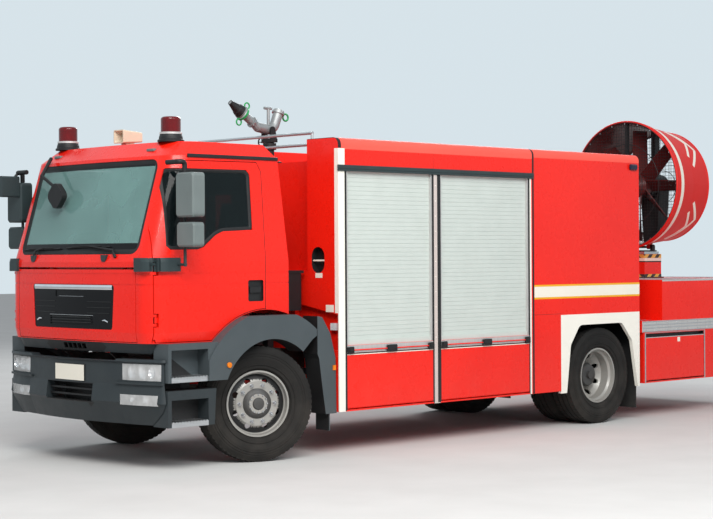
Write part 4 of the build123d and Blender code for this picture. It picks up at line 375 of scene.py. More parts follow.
for side, sign in SIDES:
    dress("rims_rear_" + side, (CAST, rear_hub))
    # Painted shadow: the rim well between disc and edge is made black
    dress("rim_front_" + side, (BLACK, rim_well_shadow(sign)))
    # Painted shade: the right mirror heads get the darker cover grey for the shade they stand in; the left
    # heads keep mirror grey
    head_grey_shaded_on_right = MIRRORGREY if sign > 0 else DARKTEAL
    dress("mirrors_" + side, (head_grey_shaded_on_right, within(under(1070), over(1188), (1915, 2140))),
          (head_grey_shaded_on_right, within(under(1070), over(1188), (2170, 2565))),
          (DARKTEAL, within(over(1072), z=(2410, 2620))), (DARKTEAL, within(over(900), z=under(1840))))
    handle_pocket = within((20, 202), under(1119.5), (1438, 1632))
    dress("door_" + side, (BLACK, lambda d, y, z, n: handle_pocket(d, y, z, n) and n.y * sign > -0.5),
          (LINING, lambda d, y, z, n: n.y * sign < -0.2))


# Mesh helpers: slabs and profiles are in millimetres, single places and runs of places in metres

def add_slab(bm, d, y, z, edge=1.5, segments=1):
    """Block between two distances, two y and two z, with its edges taken off."""
    low = place(min(d), min(y), min(z))
    high = place(max(d), max(y), max(z))
    size = high - low
    box = Matrix.Translation((low + high) / 2) @ Matrix.Diagonal((*size, 1))
    made = bmesh.ops.create_cube(bm, size=1.0, matrix=box)
    offset = min(edge / 1000, min(size) * 0.45)
    edges = list({e for v in made["verts"] for e in v.link_edges})
    bmesh.ops.bevel(bm, geom=edges, offset=offset, segments=segments, affect="EDGES", profile=0.5)


def fill_rows(bm, rows, closed=False):
    """Faces between neighbouring rows of vertices."""
    for a, b in zip(rows, rows[1:]):
        for k in range(len(a) - (not closed)):
            j = (k + 1) % len(a)
            bm.faces.new((a[k], a[j], b[j], b[k]))


def add_tube(bm, points, r, sides=10, closed=False):
    """Round bar along a line of points, its radius in metres: one, or one for each point."""
    count = len(points)
    radii = r if isinstance(r, (list, tuple)) else [r] * count
    rings = []
    normal = None
    for i, p in enumerate(points):
        before = points[i - 1] if i or closed else p
        after = points[(i + 1) % count] if i < count - 1 or closed else p
        along = (after - before).normalized()
        if normal is None:
            normal = along.orthogonal().normalized()
        normal = (normal - along * normal.dot(along)).normalized()
        other = along.cross(normal)
        rings.append([bm.verts.new(p + (normal * math.cos(a) + other * math.sin(a)) * radii[i])
                      for a in (2 * math.pi * k / sides for k in range(sides))])
    fill_rows(bm, rings + rings[:1] if closed else rings, True)
    if not closed:
        bm.faces.new(list(reversed(rings[0])))
        bm.faces.new(rings[-1])


def add_lathe(bm, profile, centre, axis, steps=48, closed=True):
    """Profile of (along the axis, radius) pairs turned about an axis through a centre in metres."""
    axis = Vector(axis).normalized()
    side = axis.orthogonal().normalized()
    other = axis.cross(side)
    rings = []
    for k in range(steps):
        a = 2 * math.pi * k / steps
        out = side * math.cos(a) + other * math.sin(a)
        rings.append([bm.verts.new(centre + axis * (h / 1000) + out * (r / 1000)) for h, r in profile])
    n = len(profile)
    for k in range(steps):
        low, high = rings[k], rings[(k + 1) % steps]
        for i in range(n if closed else n - 1):
            j = (i + 1) % n
            bm.faces.new((low[i], high[i], high[j], low[j]))
    bmesh.ops.remove_doubles(bm, verts=bm.verts, dist=1e-6)


def round_section(r, thick, sides):
    """Round section of a ring, for a lathe."""
    angles = [2 * math.pi * k / sides for k in range(sides)]
    return [(thick * math.cos(a), r + thick * math.sin(a)) for a in angles]


def add_prism(bm, low_points, high_points):
    """Solid between two outlines with the same number of points."""
    low = [bm.verts.new(p) for p in low_points]
    high = [bm.verts.new(p) for p in high_points]
    n = len(low)
    bm.faces.new(low)
    bm.faces.new(list(reversed(high)))
    for i in range(n):
        bm.faces.new((low[i], high[i], high[(i + 1) % n], low[(i + 1) % n]))


def add_piece(mesh, name, body, smooth):
    """Put a mesh in the scene as a piece that rides on a body."""
    mesh.shade_smooth()
    mesh.set_sharp_from_angle(angle=math.radians(smooth))
    piece = bpy.data.objects.new(name, mesh)
    bpy.context.scene.collection.objects.link(piece)
    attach(piece, body)
    return piece


def finish_piece(bm, name, body, material, smooth=30):
    """Turn a bmesh into a piece with one finish."""
    bmesh.ops.remove_doubles(bm, verts=bm.verts, dist=2e-6)
    bmesh.ops.recalc_face_normals(bm, faces=bm.faces)
    mesh = bpy.data.meshes.new(name)
    bm.to_mesh(mesh)
    bm.free()
    mesh.materials.append(material)
    return add_piece(mesh, name, body, smooth)


def slabs(name, body, material, boxes, edge=1.5):
    bm = bmesh.new()
    for d, y, z in boxes:
        add_slab(bm, d, y, z, edge)
    return finish_piece(bm, name, body, material)


def lathes(name, body, material, turned, steps, closed=True, smooth=30):
    """Piece of profiles turned about axes: each is a profile, a centre and an axis."""
    bm = bmesh.new()
    for profile, centre, axis in turned:
        add_lathe(bm, profile, centre, axis, steps, closed)
    return finish_piece(bm, name, body, material, smooth)


def both(boxes):
    """Boxes given for the left side, and their copies on the right."""
    out = []
    for d, y, z in boxes:
        out += [(d, y, z), (d, (-y[0], -y[1]), z)]
    return out


def wall_slabs(name, material, boxes, edge):
    """Slabs on both of the body's walls; each box says how far out from the wall it lies."""
    left = [(d, (SIDE + out[0], SIDE + out[1]), z) for d, out, z in boxes]
    return slabs(name, "chassis", material, both(left), edge)


# Geometry trees that repeat a small shape

TURN_AND_PLACE = {"Turn": "Vector", "Place": "Vector"}


def new_tree(name, **inputs):
    """Geometry tree that takes a small shape, named inputs and a material."""
    tree = bpy.data.node_groups.new(name, "GeometryNodeTree")
    for label, kind in (("Geometry", "Geometry"), *inputs.items(), ("Material", "Material")):
        tree.interface.new_socket(label.replace("_", " "), in_out="INPUT", socket_type="NodeSocket" + kind)
    tree.interface.new_socket("Geometry", in_out="OUTPUT", socket_type="NodeSocketGeometry")
    return tree, tree.nodes.new("NodeGroupInput").outputs


def close_tree(tree, given, geometry):
    """Realize the copies, give them their material and send them out."""
    real = node(tree, "GeometryNodeRealizeInstances", {0: geometry})
    painted = node(tree, "GeometryNodeSetMaterial", {"Geometry": real, "Material": given["Material"]})
    feed(tree, tree.nodes.new("NodeGroupOutput").inputs[0], painted)
    return tree


def turned_and_placed(tree, given, geometry):
    inputs = {"Geometry": geometry, "Translation": given["Place"], "Rotation": given["Turn"]}
    return node(tree, "GeometryNodeTransform", inputs)


def ring_tree():
    """Copies round a circle, each turned to face outwards, then the whole ring turned and placed."""
    tree, given = new_tree("copies round a circle", Count="Int", Radius="Float", **TURN_AND_PLACE)
    circle = node(tree, "GeometryNodeMeshCircle", {"Vertices": given["Count"], "Radius": given["Radius"]})
    step = calc(tree, "DIVIDE", 2 * math.pi, given["Count"])
    angle = calc(tree, "MULTIPLY", node(tree, "GeometryNodeInputIndex"), step)
    facing = node(tree, "ShaderNodeCombineXYZ", {"Z": angle})
    inputs = {"Points": circle, "Instance": given["Geometry"], "Rotation": facing}
    copies = node(tree, "GeometryNodeInstanceOnPoints", inputs)
    return close_tree(tree, given, turned_and_placed(tree, given, copies))


def grid_tree():
    """Copies in rows and columns from a first place."""
    steps = {"Step_along": "Vector", "Step_across": "Vector"}
    tree, given = new_tree("copies in rows", Along="Int", Across="Int", **steps, Place="Vector")
    geometry = given["Geometry"]
    for count, step, first in (("Along", "Step along", (0, 0, 0)), ("Across", "Step across", given["Place"])):
        inputs = {"Count": given[count], "Start Location": first, "Offset": given[step]}
        line = node(tree, "GeometryNodeMeshLine", inputs)
        geometry = node(tree, "GeometryNodeInstanceOnPoints", {"Points": line, "Instance": geometry})
    return close_tree(tree, given, geometry)


def guard_tree():
    """Square wire mesh cut to a circle: rows of one wire, each as long as its chord, laid both ways."""
    tree, given = new_tree("wire guard", Count="Int", Radius="Float", Pitch="Float", **TURN_AND_PLACE)
    span = calc(tree, "MULTIPLY", calc(tree, "SUBTRACT", given["Count"], 1.0), given["Pitch"])
    corner = node(tree, "ShaderNodeCombineXYZ", {"Y": calc(tree, "MULTIPLY", span, -0.5)})
    step = node(tree, "ShaderNodeCombineXYZ", {"Y": given["Pitch"]})
    inputs = {"Count": given["Count"], "Start Location": corner, "Offset": step}
    line = node(tree, "GeometryNodeMeshLine", inputs)
    height = node(tree, "ShaderNodeSeparateXYZ", {0: node(tree, "GeometryNodeInputPosition")}, "Y")
    squares = [calc(tree, "POWER", length, 2.0) for length in (given["Radius"], height)]
    chord = calc(tree, "SQRT", calc(tree, "SUBTRACT", *squares))
    length = node(tree, "ShaderNodeCombineXYZ", {"X": chord, "Y": 1.0, "Z": 1.0})
    inputs = {"Points": line, "Instance": given["Geometry"], "Scale": length}
    copies = node(tree, "GeometryNodeInstanceOnPoints", inputs)
    inputs = {"Geometry": copies, "Rotation": (0, 0, math.pi / 2), "Translation": (0, 0, 0.0035)}
    crossed = node(tree, "GeometryNodeTransform", inputs)
    layers = tree.nodes.new("GeometryNodeJoinGeometry")
    for layer in (copies, crossed):
        tree.links.new(layer, layers.inputs[0])
    return close_tree(tree, given, turned_and_placed(tree, given, layers.outputs[0]))


RING, GRID, GUARD = ring_tree(), grid_tree(), guard_tree()


def grow(tree, shape, material, **sizes):
    """Run a tree on a small shape and return the result as a plain mesh."""
    seed = bpy.data.objects.new("seed", shape)
    bpy.context.scene.collection.objects.link(seed)
    modifier = seed.modifiers.new("repeat", "NODES")
    modifier.node_group = tree
    sockets = {item.name: item.identifier for item in tree.interface.items_tree if item.in_out == "INPUT"}
    for label, value in sizes.items():
        modifier[sockets[label.replace("_", " ")]] = tuple(value) if isinstance(value, Vector) else value
    modifier[sockets["Material"]] = material
    view = bpy.context.evaluated_depsgraph_get()
    mesh = bpy.data.meshes.new_from_object(seed.evaluated_get(view))
    seed.modifiers.remove(modifier)
    bpy.data.objects.remove(seed)
    return mesh


def joined_piece(meshes, name, body, change=None):
    """One piece of one finish from several grown meshes, moved by a matrix where one is given."""
    bm = bmesh.new()
    for mesh in meshes:
        bm.from_mesh(mesh)
    if change:
        bmesh.ops.transform(bm, matrix=change, verts=bm.verts)
    whole = bpy.data.meshes.new(name)
    bm.to_mesh(whole)
    bm.free()
    whole.materials.append(next(m for m in meshes[0].materials if m))
    for face in whole.polygons:
        face.material_index = 0
    return add_piece(whole, name, body, 30)


def small_shape(build):
    bm = bmesh.new()
    build(bm)
    bmesh.ops.recalc_face_normals(bm, faces=bm.faces)
    mesh = bpy.data.meshes.new("small shape")
    bm.to_mesh(mesh)
    bm.free()
    return mesh


def turned_shape(*parts, axis=(0, 0, 1)):
    """Small shape with its foot at zero; each part is a profile and its number of sides."""
    def build(bm):
        for profile, sides in parts:
            add_lathe(bm, profile, Vector(), axis, sides, False)
    return small_shape(build)


def bolt(r, h):
    """Six-sided head with its foot at zero."""
    return turned_shape(([(0, 0), (0, r), (h * 0.6, r), (h, r * 0.8), (h, 0)], 6))


def block(d, y, z, edge):
    """Small shape of one slab about the frame's origin, for a grid to place."""
    origin = -FRONT_AXLE * 1000
    return small_shape(lambda bm: add_slab(bm, (origin - d, origin + d), y, z, edge))


# Places on the surface of a solid

def skin_of(*names):
    """Search tree over the faces of some solids."""
    points, faces = [], []
    for name in names:
        mesh = frame["nodes"][name].data
        first = len(points)
        points += [v.co.copy() for v in mesh.vertices]
        faces += [tuple(first + i for i in p.vertices) for p in mesh.polygons]
    return BVHTree.FromPolygons(points, faces)


def on_skin(skin, start, way, middle, lift):
    """Where a straight look meets a skin, moved towards its middle until it does, then lifted off it."""
    for k in range(40):
        spot, normal, _, _ = skin.ray_cast(start.lerp(middle, k * 0.002), way)
        if spot:
            return spot + normal * (lift / 1000)
    raise ValueError("no skin at %s" % start)


def from_ahead(skin, y, z, lift):
    middle = place(2000, 0, 2200 if z > 1700 else 1450)
    return on_skin(skin, place(2000, y, z), Vector((-1, 0, 0)), middle, lift)


def from_side(skin, d, z, sign, lift):
    return on_skin(skin, place(d, sign * 1800, z), Vector((0, -sign, 0)), place(600, sign * 1800, 2250), lift)


def rounded(points, radius, steps=5):
    """Flat outline with its corners rounded."""
    out = []
    n = len(points)
    for i, corner in enumerate(points):
        c = Vector(corner)
        before = Vector(points[i - 1]) - c
        after = Vector(points[(i + 1) % n]) - c
        cut = min(radius, before.length * 0.45, after.length * 0.45)
        a, b = c + before.normalized() * cut, c + after.normalized() * cut
        for k in range(steps + 1):
            t = k / steps
            out.append((a * (1 - t) + c * t) * (1 - t) + (c * (1 - t) + b * t) * t)
    return out


def shrunk(points, amount):
    """Closed outline moved towards its inside along its corner directions."""
    after = points[1:] + points[:1]
    area = sum(p.x * q.y - q.x * p.y for p, q in zip(points, after))
    sign = 1 if area > 0 else -1
    out = []
    for i, p in enumerate(points):
        along = after[i] - points[i - 1]
        if along.length < 1e-9:
            along = Vector((1, 0))
        along.normalize()
        out.append(p + Vector((-along.y, along.x)) * sign * amount)
    return out


def divided(points, longest):
    """Outline with its long runs cut so that it can follow a curved skin."""
    out = []
    for p, q in zip(points, points[1:] + points[:1]):
        parts = max(1, int((q - p).length / longest))
        out += [p.lerp(q, k / parts) for k in range(parts)]
    return out


def framed(bm, outline, width, onto, low, high):
    """Band just inside an outline, laid on a skin: its outer rim is high and its inner lip low."""
    outer = divided(outline, 60)
    rings = ((outer, high), (shrunk(outer, width * 0.55), high), (shrunk(outer, width), low))
    fill_rows(bm, [[bm.verts.new(onto(p.x, p.y, lift)) for p in ring] for ring, lift in rings], True)


def across(onto, half, z, lift, parts):
    """Row of places on a skin from one side of the front to the other."""
    return [onto(-half + 2 * half * k / parts, z, lift) for k in range(parts + 1)]


def band_across(bm, onto, half, levels, parts):
    """Band over the front through rows, each at a height and a lift."""
    fill_rows(bm, [[bm.verts.new(p) for p in across(onto, half, z, lift, parts)] for z, lift in levels])


# Cab: glazing seals, dark bands and wipers

SCREEN_HALF, SCREEN_FOOT, SCREEN_TOP, INSET = 905, 1866, 2690, 1.5
screen_skin = skin_of("windscreen")
cab_skin = skin_of("cab_shell", "front_flap")
grille_skin = skin_of("front_grille")


def on_screen(y, z, lift):
    y = max(INSET - SCREEN_HALF, min(SCREEN_HALF - INSET, y))
    return from_ahead(screen_skin, y, max(SCREEN_FOOT + INSET, min(SCREEN_TOP - INSET, z)), lift)


def on_grille(y, z, lift):
    return from_ahead(grille_skin, y, z, lift)


bm = bmesh.new()
corners = [(y * 0.9985, z) for y, z in ((-SCREEN_HALF, SCREEN_FOOT), (SCREEN_HALF, SCREEN_FOOT),
                                        (SCREEN_HALF, SCREEN_TOP), (-SCREEN_HALF, SCREEN_TOP))]
framed(bm, rounded(corners, 90, 8), 42, on_screen, 0.8, 8)
finish_piece(bm, "windscreen_seal", "cab", RUBBER)

bm = bmesh.new()
for low, high, half in ((1872, 1962, 860), (2632, 2680, 850)):
    band_across(bm, on_screen, half, [(z, 0.7) for z in (low, (low + high) / 2, high)], 28)
finish_piece(bm, "screen_bands", "cab", GLOSSBLACK)

WINDOW_CORNERS = ((1100, 1935), (1062, 2560), (1010, 2606), (190, 2612), (150, 2570), (137, 2078),
                  (480, 2062), (560, 2030), (700, 1925), (760, 1905), (1060, 1902))
WINDOW_D, WINDOW_Z, WINDOW_SHARE = 600, 2250, 0.997
for side, sign in SIDES:
    glass_skin = skin_of("door_glass_" + side)
    corners = [(WINDOW_D + (d - WINDOW_D) * WINDOW_SHARE, WINDOW_Z + (z - WINDOW_Z) * WINDOW_SHARE)
               for d, z in WINDOW_CORNERS]
    bm = bmesh.new()
    framed(bm, rounded(corners, 40), 30, lambda d, z, lift: from_side(glass_skin, d, z, sign, lift), 0.8, 10)
    finish_piece(bm, "window_seal_" + side, "door_body_" + side, RUBBER)

# Wipers lie along the foot of the screen: blades, arms and the covers of their shafts
bm = bmesh.new()
for run in (((-860, 1906), (-540, 1914), (-215, 1918)), ((-120, 1922), (190, 1931), (520, 1930))):
    fine = [(y0 + (y1 - y0) * k / 6, z0 + (z1 - z0) * k / 6)
            for i, ((y0, z0), (y1, z1)) in enumerate(zip(run, run[1:])) for k in range(min(i, 1), 7)]
    add_tube(bm, [on_screen(y, z, 11) for y, z in fine], 0.007, 8)
    add_tube(bm, [on_screen(y, z + 5, 22) for y, z in fine[2:-2]], 0.005, 6)
finish_piece(bm, "wiper_blades", "cab", RUBBER, 50)
bm = bmesh.new()
for shaft_y, knee_y, tip_y, tip_z in ((-624, -600, -480, 1919), (640, 600, 230, 1935)):
    foot = from_ahead(cab_skin, shaft_y, 1838, 6)
    knee = on_screen(knee_y, 1896, 30)
    tip = on_screen(tip_y, tip_z, 28)
    rise, dip = foot.lerp(knee, 0.7) + Vector((0.012, 0, 0)), knee.lerp(tip, 0.5) + Vector((0.006, 0, 0))
    add_tube(bm, [foot, rise, knee, dip, tip], [0.014, 0.011, 0.010, 0.008, 0.006], 8)
finish_piece(bm, "wiper_arms", "cab", BLACK, 50)
bm = bmesh.new()
for y in (-624, 488):
    front = from_ahead(cab_skin, y, 1832, 0).x - 0.02
    outline = [Vector((front, (y + a) / 1000, (1836 + b) / 1000)) for a, b in
               ((-40, 26), (40, 26), (34, -14), (20, -34), (-20, -34), (-34, -14))]
    add_prism(bm, outline, [p + Vector((0.036, 0, 0)) for p in outline])
finish_piece(bm, "wiper_covers", "cab", DARKTEAL)


def skin_patch(name, low, high, outward, lift):
    """Copy of the part of a solid's skin that lies inside a box and looks outward, lifted off it."""
    bm = bmesh.new()
    bm.from_mesh(frame["nodes"][name].data)
    bmesh.ops.remove_doubles(bm, verts=bm.verts, dist=0.00001)
    for limit, way in ((low, -1), (high, 1)):
        for axis in range(3):
            cut = Vector((0, 0, 0))
            cut[axis] = way
            everything = bm.verts[:] + bm.edges[:] + bm.faces[:]
            bmesh.ops.bisect_plane(bm, geom=everything, plane_co=limit, plane_no=cut, clear_outer=True)
    bm.normal_update()
    bmesh.ops.delete(bm, geom=[f for f in bm.faces if f.normal.dot(outward) < 0.15], context="FACES")
    bm.normal_update()
    for v, move in [(v, v.normal * (lift / 1000)) for v in bm.verts]:
        v.co += move
    return bm


# Painted shade on the cab's corners: a dark band for the shaded gap between the two parts of the mirror foot's
# cover
for side, sign in SIDES:
    inner, outer = sorted((sign * 1030, sign * 1128))
    outward = Vector((0.75, 0.66 * sign, 0)).normalized()
    for name, body in (("cab_shell", "cab"), ("door_" + side, "door_body_" + side)):
        patch = skin_patch(name, place(1150, inner, 1716), place(1270, outer, 1834), outward, 0.5)
        if patch.faces:
            finish_piece(patch, "corner_band_" + body + "_" + side, body, DARKTEAL)

# Small clearance lamps above the screen
bm = bmesh.new()
for y in (-715, 715):
    d = (from_ahead(cab_skin, y, 2775, 0).x - FRONT_AXLE) * 1000
    add_slab(bm, (d - 20, d + 20), (y - 52, y + 52), (2764, 2790), 7, 2)
finish_piece(bm, "roof_clearance_lamps", "cab", MIRRORGREY)

# Grille: bright catches, thin lines, bright strip, dark slats and the mesh of the intake
bm = bmesh.new()
for sign in (-1, 1):
    run = [on_grille(sign * y, z, 6) for y, z in ((548, 1276), (506, 1292), (470, 1290))]
    add_tube(bm, run, [0.007, 0.008, 0.004], 8)
finish_piece(bm, "grille_catches", "front_service_flap", CHROME, 50)
bm = bmesh.new()
for z, half in ((1496, 190), (1330, 335)):
    add_tube(bm, across(on_grille, half, z, 1.5, 12), 0.0022, 8)
finish_piece(bm, "grille_lines", "front_service_flap", STEEL, 50)
bm = bmesh.new()
band_across(bm, on_grille, 600, ((1558, 0.1), (1560, 1.2), (1578, 4.2), (1596, 1.2), (1598, 0.1)), 30)
finish_piece(bm, "grille_bright_strip", "front_service_flap", CHROME)
bm = bmesh.new()
for z in (1268, 1291, 1314):
    add_tube(bm, across(on_grille, 300, z, 2.0, 12), 0.0045, 8)
for z, half in ((1352, 560), (1402, 575), (1452, 585)):
    for sign in (-1, 1):
        add_tube(bm, [on_grille(sign * (245 + (half - 245) * k / 8), z, 1.0) for k in range(9)], 0.003, 8)
finish_piece(bm, "grille_slats", "front_service_flap", BLACK, 50)
uprights = grow(GRID, block(3, (-2, 2), (-48, 48), 1), BLACK, Along=33, Across=1, Step_along=(0, 0.020, 0),
                Step_across=(0, 0, 0), Place=place(1300, -320, 1291))
joined_piece([uprights], "intake_mesh", "front_service_flap")

# Headlamps and fog lamps: a bright bowl behind each lens, with a bulb in the headlamps
bowls, bulbs = bmesh.new(), bmesh.new()
for sign in (-1, 1):
    for y, z, r, d in ((800, 852, 56, 1210), (925, 852, 56, 1190), (1040, 855, 46, 1182)):
        centre = place(d, sign * y, z)
        bowl = [(0, 12), (8, 24), (22, 40), (34, r), (30, r), (18, 38), (4, 22), (-4, 12)]
        add_lathe(bowls, bowl, centre, (1, 0, 0), 28)
        add_lathe(bulbs, [(-2, 0), (-2, 10), (18, 10), (27, 6), (30, 0)], centre, (1, 0, 0), 14, False)
    for y, z, d in ((800, 617, 1216), (960, 617, 1190)):
        bowl = [(0, 10), (10, 26), (24, 38), (22, 38), (6, 24), (-4, 10)]
        add_lathe(bowls, bowl, place(d, sign * y, z), (1, 0, 0), 24)
finish_piece(bowls, "lamp_bowls", "chassis", CHROME)
finish_piece(bulbs, "lamp_bulbs", "chassis", PALELENS)

# Back of the bumper's opening, and the bare plate in its holder
slabs("bumper_back", "chassis", BLACK, [((1128, 1140), (-352, 352), (545, 778))], 3)
slabs("plate_holder", "chassis", BLACK, [((1334, 1349), (-213, 243), (748, 902))], 3)
slabs("bare_plate", "chassis", WHITE, [((1348.8, 1351.5), (-205, 235), (755, 895))], 1)

# Turning lamp and foot ring of each beacon, and the glass and rubber edge of each mirror head
LAMP_CORE = ((4, 0), (4, 60), (14, 60), (20, 30), (52, 26), (58, 46), (104, 46), (112, 24), (112, 0))
BEACON_RING = ((-4, 89), (-4, 99), (10, 99), (14, 95), (14, 89.5))
MIRROR_HEADS = ((2177, 2557, 942.5), (1924, 2135, 950))        # foot, top and distance of the glass
for side, sign in SIDES:
    foot = place(800, sign * 790, 2922)
    lathes("beacon_core_" + side, "cab", CHROME, [(LAMP_CORE, foot, (0, 0, 1))], 24, False)
    lathes("beacon_ring_" + side, "cab", EDGING, [(BEACON_RING, foot, (0, 0, 1))], 40)
    panes, edges = bmesh.new(), bmesh.new()
    for foot, top, d in MIRROR_HEADS:
        add_slab(panes, (d - 2, d + 2), (sign * 1212, sign * 1413), (foot + 22, top - 22), 1)
        inner, outer, foot, top = sign * 1200, sign * 1425, foot + 10, top - 10
        outline = rounded([(inner, foot), (outer, foot), (outer, top), (inner, top)], 26, 4)
        add_tube(edges, [place(d - 1, p.x, p.y) for p in outline], 0.006, 6, closed=True)
    finish_piece(panes, "mirror_glass_" + side, "door_body_" + side, MIRROR)
    finish_piece(edges, "mirror_edges_" + side, "door_body_" + side, RUBBER, 50)


# Body: strips, bands and seams on both walls

MODULE_FRONT, MODULE_JOINT, REAR_FRONT, REAR_END = -785, -3549, -3579, -5384
sills = [((front - 2, rear + 2), (0.1, 1.2), (937, 1005)) for front, rear in BAYS]
wall_slabs("locker_sills", EDGING, sills, 0.4)
lines = [((front - 6, rear + 6), (0.2, 1.6), (917, 925)) for front, rear in BAYS]
wall_slabs("sill_lines", WHITE, lines, 0.3)
sill_seals = [((front - 4, rear + 4), (0.2, 2.4), (926, 936)) for front, rear in BAYS]
wall_slabs("sill_seals", RUBBER, sill_seals, 0.6)
gutter = [((-770, -3566), (0.3, out), z) for out, z in ((15.5, (2627, 2650)), (17, (2648, 2685)))]
wall_slabs("gutter_covers", DARKTEAL, gutter, 4)
catches, seals = [], []
for front, rear in BAYS:
    centre = (front + rear) / 2
    for d0, d1 in ((front - 6, front - 84), (centre + 68, centre - 68), (rear + 84, rear + 6)):
        catches += [((d0, d1), (2, 22), (928, 992)), ((d0 - 14, d1 + 14), (21, 30), (950, 996))]
    wide_front, wide_rear = (40, 8) if front < -2000 else (16, 11)
    seals += [((front + wide_front, front), (0.2, 1.8), (400, 2640)),
              ((front + 2, front - 8), (-28, 1.6), (410, 2640)),
              ((rear + 9, rear - 1), (-28, 1.6), (410, 2640)),
              ((rear + 2, rear - wide_rear), (0.2, 1.8), (400, 2640))]
wall_slabs("shutter_catches", BLACK, catches, 5)
wall_slabs("bay_seals", RUBBER, seals, 1)
wall_slabs("corner_strips", CREAM,
           [((-784.5, -786.5), (-54, -1), (1310, 2838)), ((MODULE_FRONT, -866), (0.1, 1.6), (2651, 2838)),
            ((-784.5, -786.5), (-12, 0.5), (397, 1310))], 0.7)
wall_slabs("middle_posts", POST, [((-2066, -2112), (0.2, 1.4), (400, 2626))], 0.5)


def body_band(name, d0, d1, from_z, to_y, material, lift):
    """Band on the module's outside, up the wall, over the rounded edge and onto the roof."""
    roll_y, roll_z = SIDE - ROLL_R, ROOF - ROLL_R
    turns = [math.pi / 2 * k / 8 for k in range(1, 9)]
    curve = [(roll_y + ROLL_R * math.cos(a), roll_z + ROLL_R * math.sin(a)) for a in turns]
    section = [(SIDE, from_z), (SIDE, roll_z), *curve, (to_y, ROOF)]

    def share(reach):
        return max(0, min(1, reach / ROLL_R))

    outer = [(y + lift * share(y - roll_y), z + lift * share(z - roll_z)) for y, z in section]
    inner = [(y, z - 2 * lift) if z >= ROOF else (y - 2 * lift, z) for y, z in outer]
    bm = bmesh.new()
    for sign in (-1, 1):
        outer0, inner0, outer1, inner1 = ([bm.verts.new(place(d, sign * y, z)) for y, z in line]
                                          for d in (d0, d1) for line in (outer, inner))
        for i in range(len(outer) - 1):
            bm.faces.new((outer0[i], outer0[i + 1], outer1[i + 1], outer1[i]))
            bm.faces.new((outer0[i], inner0[i], inner0[i + 1], outer0[i + 1]))
            bm.faces.new((outer1[i], outer1[i + 1], inner1[i + 1], inner1[i]))
        for i in (0, -1):
            bm.faces.new((outer0[i], outer1[i], inner1[i], inner0[i]))
    finish_piece(bm, name, "chassis", material)


body_band("module_joint", MODULE_JOINT - 1, -3576, 397, 822, BLACK, 1.0)
body_band("front_edge_cap", MODULE_FRONT, -822, 2842, 830, BLACK, 2.0)
# Paler red bands over the rounded roof edges: painted sky sheen, standing for the sky reflected on the roll
body_band("front_roof_roll", -823, MODULE_JOINT, 2832, 1178, SKY_SHEEN_RED, 0.7)
body_band("rear_roof_roll", -3577, REAR_END, 2848, 1178, SKY_SHEEN_RED, 0.7)
body_band("fascia_seam", -2061.2, -2063.2, 2678, 1100, BLACK, 0.5)
yellow = [((REAR_FRONT, REAR_END), (0.1, 1.0), z) for z in ((1374, 1393), (1505, 1524))]
wall_slabs("yellow_bands", YELLOW, yellow, 0.3)
wall_slabs("white_band", WHITE, [((REAR_FRONT, REAR_END), (0.1, 1.0), (1393.5, 1504.5))], 0.3)
wall_slabs("panel_seam", BLACK, [((REAR_FRONT, -4010), (-1, 0.5), (1211.6, 1214.4))], 0.2)
wall_slabs("side_corner_lamps", BLUELENS, [((-5200, -5335), (0.2, 30), (2768, 2834))], 13)
signs = [((-784.4, -785.6), (930, 1027), (1636, 1681)), ((-784.4, -785.6), (1072, 1180), (1318, 1385))]
slabs("front_small_signs", "chassis", WHITE, both(signs), 0.4)

# Screws along the corner plates, posts, arch panels and hatch frames: how many along and across, the steps
# between them, and the first one's distance, lift off the wall and height
SCREWS = ((11, 1, (0, 0, 0.15), (0, 0, 0), (-806, 0, 1120)),
          (12, 1, (0, 0, 0.148), (0, 0, 0), (-2089, 1.2, 1040)),
          (12, 1, (0, 0, 0.148), (0, 0, 0), (-3521, 0, 1040)),
          (9, 1, (-0.16, 0, 0), (0, 0, 0), (-4070, 0, 1172)),
          (5, 2, (0, 0, 0.14), (-1.30, 0, 0), (-4050, 0, 450)),
          (8, 2, (-0.16, 0, 0), (0, 0, 0.086), (-5500, 0, 984)),
          (16, 1, (-0.16, 0, 0), (0, 0, 0), (-5500, 0, 1026)))
screws, studs = [], []
for sign in (-1, 1):
    screw = turned_shape(([(0, 0), (0, 5.5), (1.6, 5.5), (2.4, 3.4), (2.4, 0)], 8), axis=(0, sign, 0))
    for along, wide, step, step_across, (d, lift, z) in SCREWS:
        first = place(d, sign * (SIDE + 0.2 + lift), z)
        screws.append(grow(GRID, screw, CREAM, Along=along, Across=wide, Step_along=step,
                           Step_across=step_across, Place=first))
    stud = turned_shape(([(0, 0), (0, 6), (1.8, 6), (3, 3.5), (3, 0)], 8), axis=(0, sign, 0))
    for z in (985, 1063):
        studs.append(grow(GRID, stud, STEEL, Along=13, Across=1, Step_along=(-0.2, 0, 0),
                          Step_across=(0, 0, 0), Place=place(-5500, sign * (SIDE + 2.5), z)))
joined_piece(screws, "body_screws", "chassis")
joined_piece(studs, "deck_band_studs", "chassis")


# Wheels: nuts, hub cover, tread lugs and side rings

FRONT_WHEEL_Y, DISC_OUT = 1006, 85
SIDE_RINGS = ((452, 143.6), (430, 145.0), (352, 141.5))        # radius and reach from the tyre's middle
nut = turned_shape(([(0, 0), (0, 19), (5, 19), (5, 0)], 12),
                   ([(4, 0), (4, 16), (24, 16), (27, 13), (27, 0)], 6),
                   ([(26, 0), (26, 8), (40, 8), (42, 6), (42, 0)], 8))
hub_bolt = turned_shape(([(0, 0), (0, 9), (12, 9), (14, 7), (14, 0)], 6))


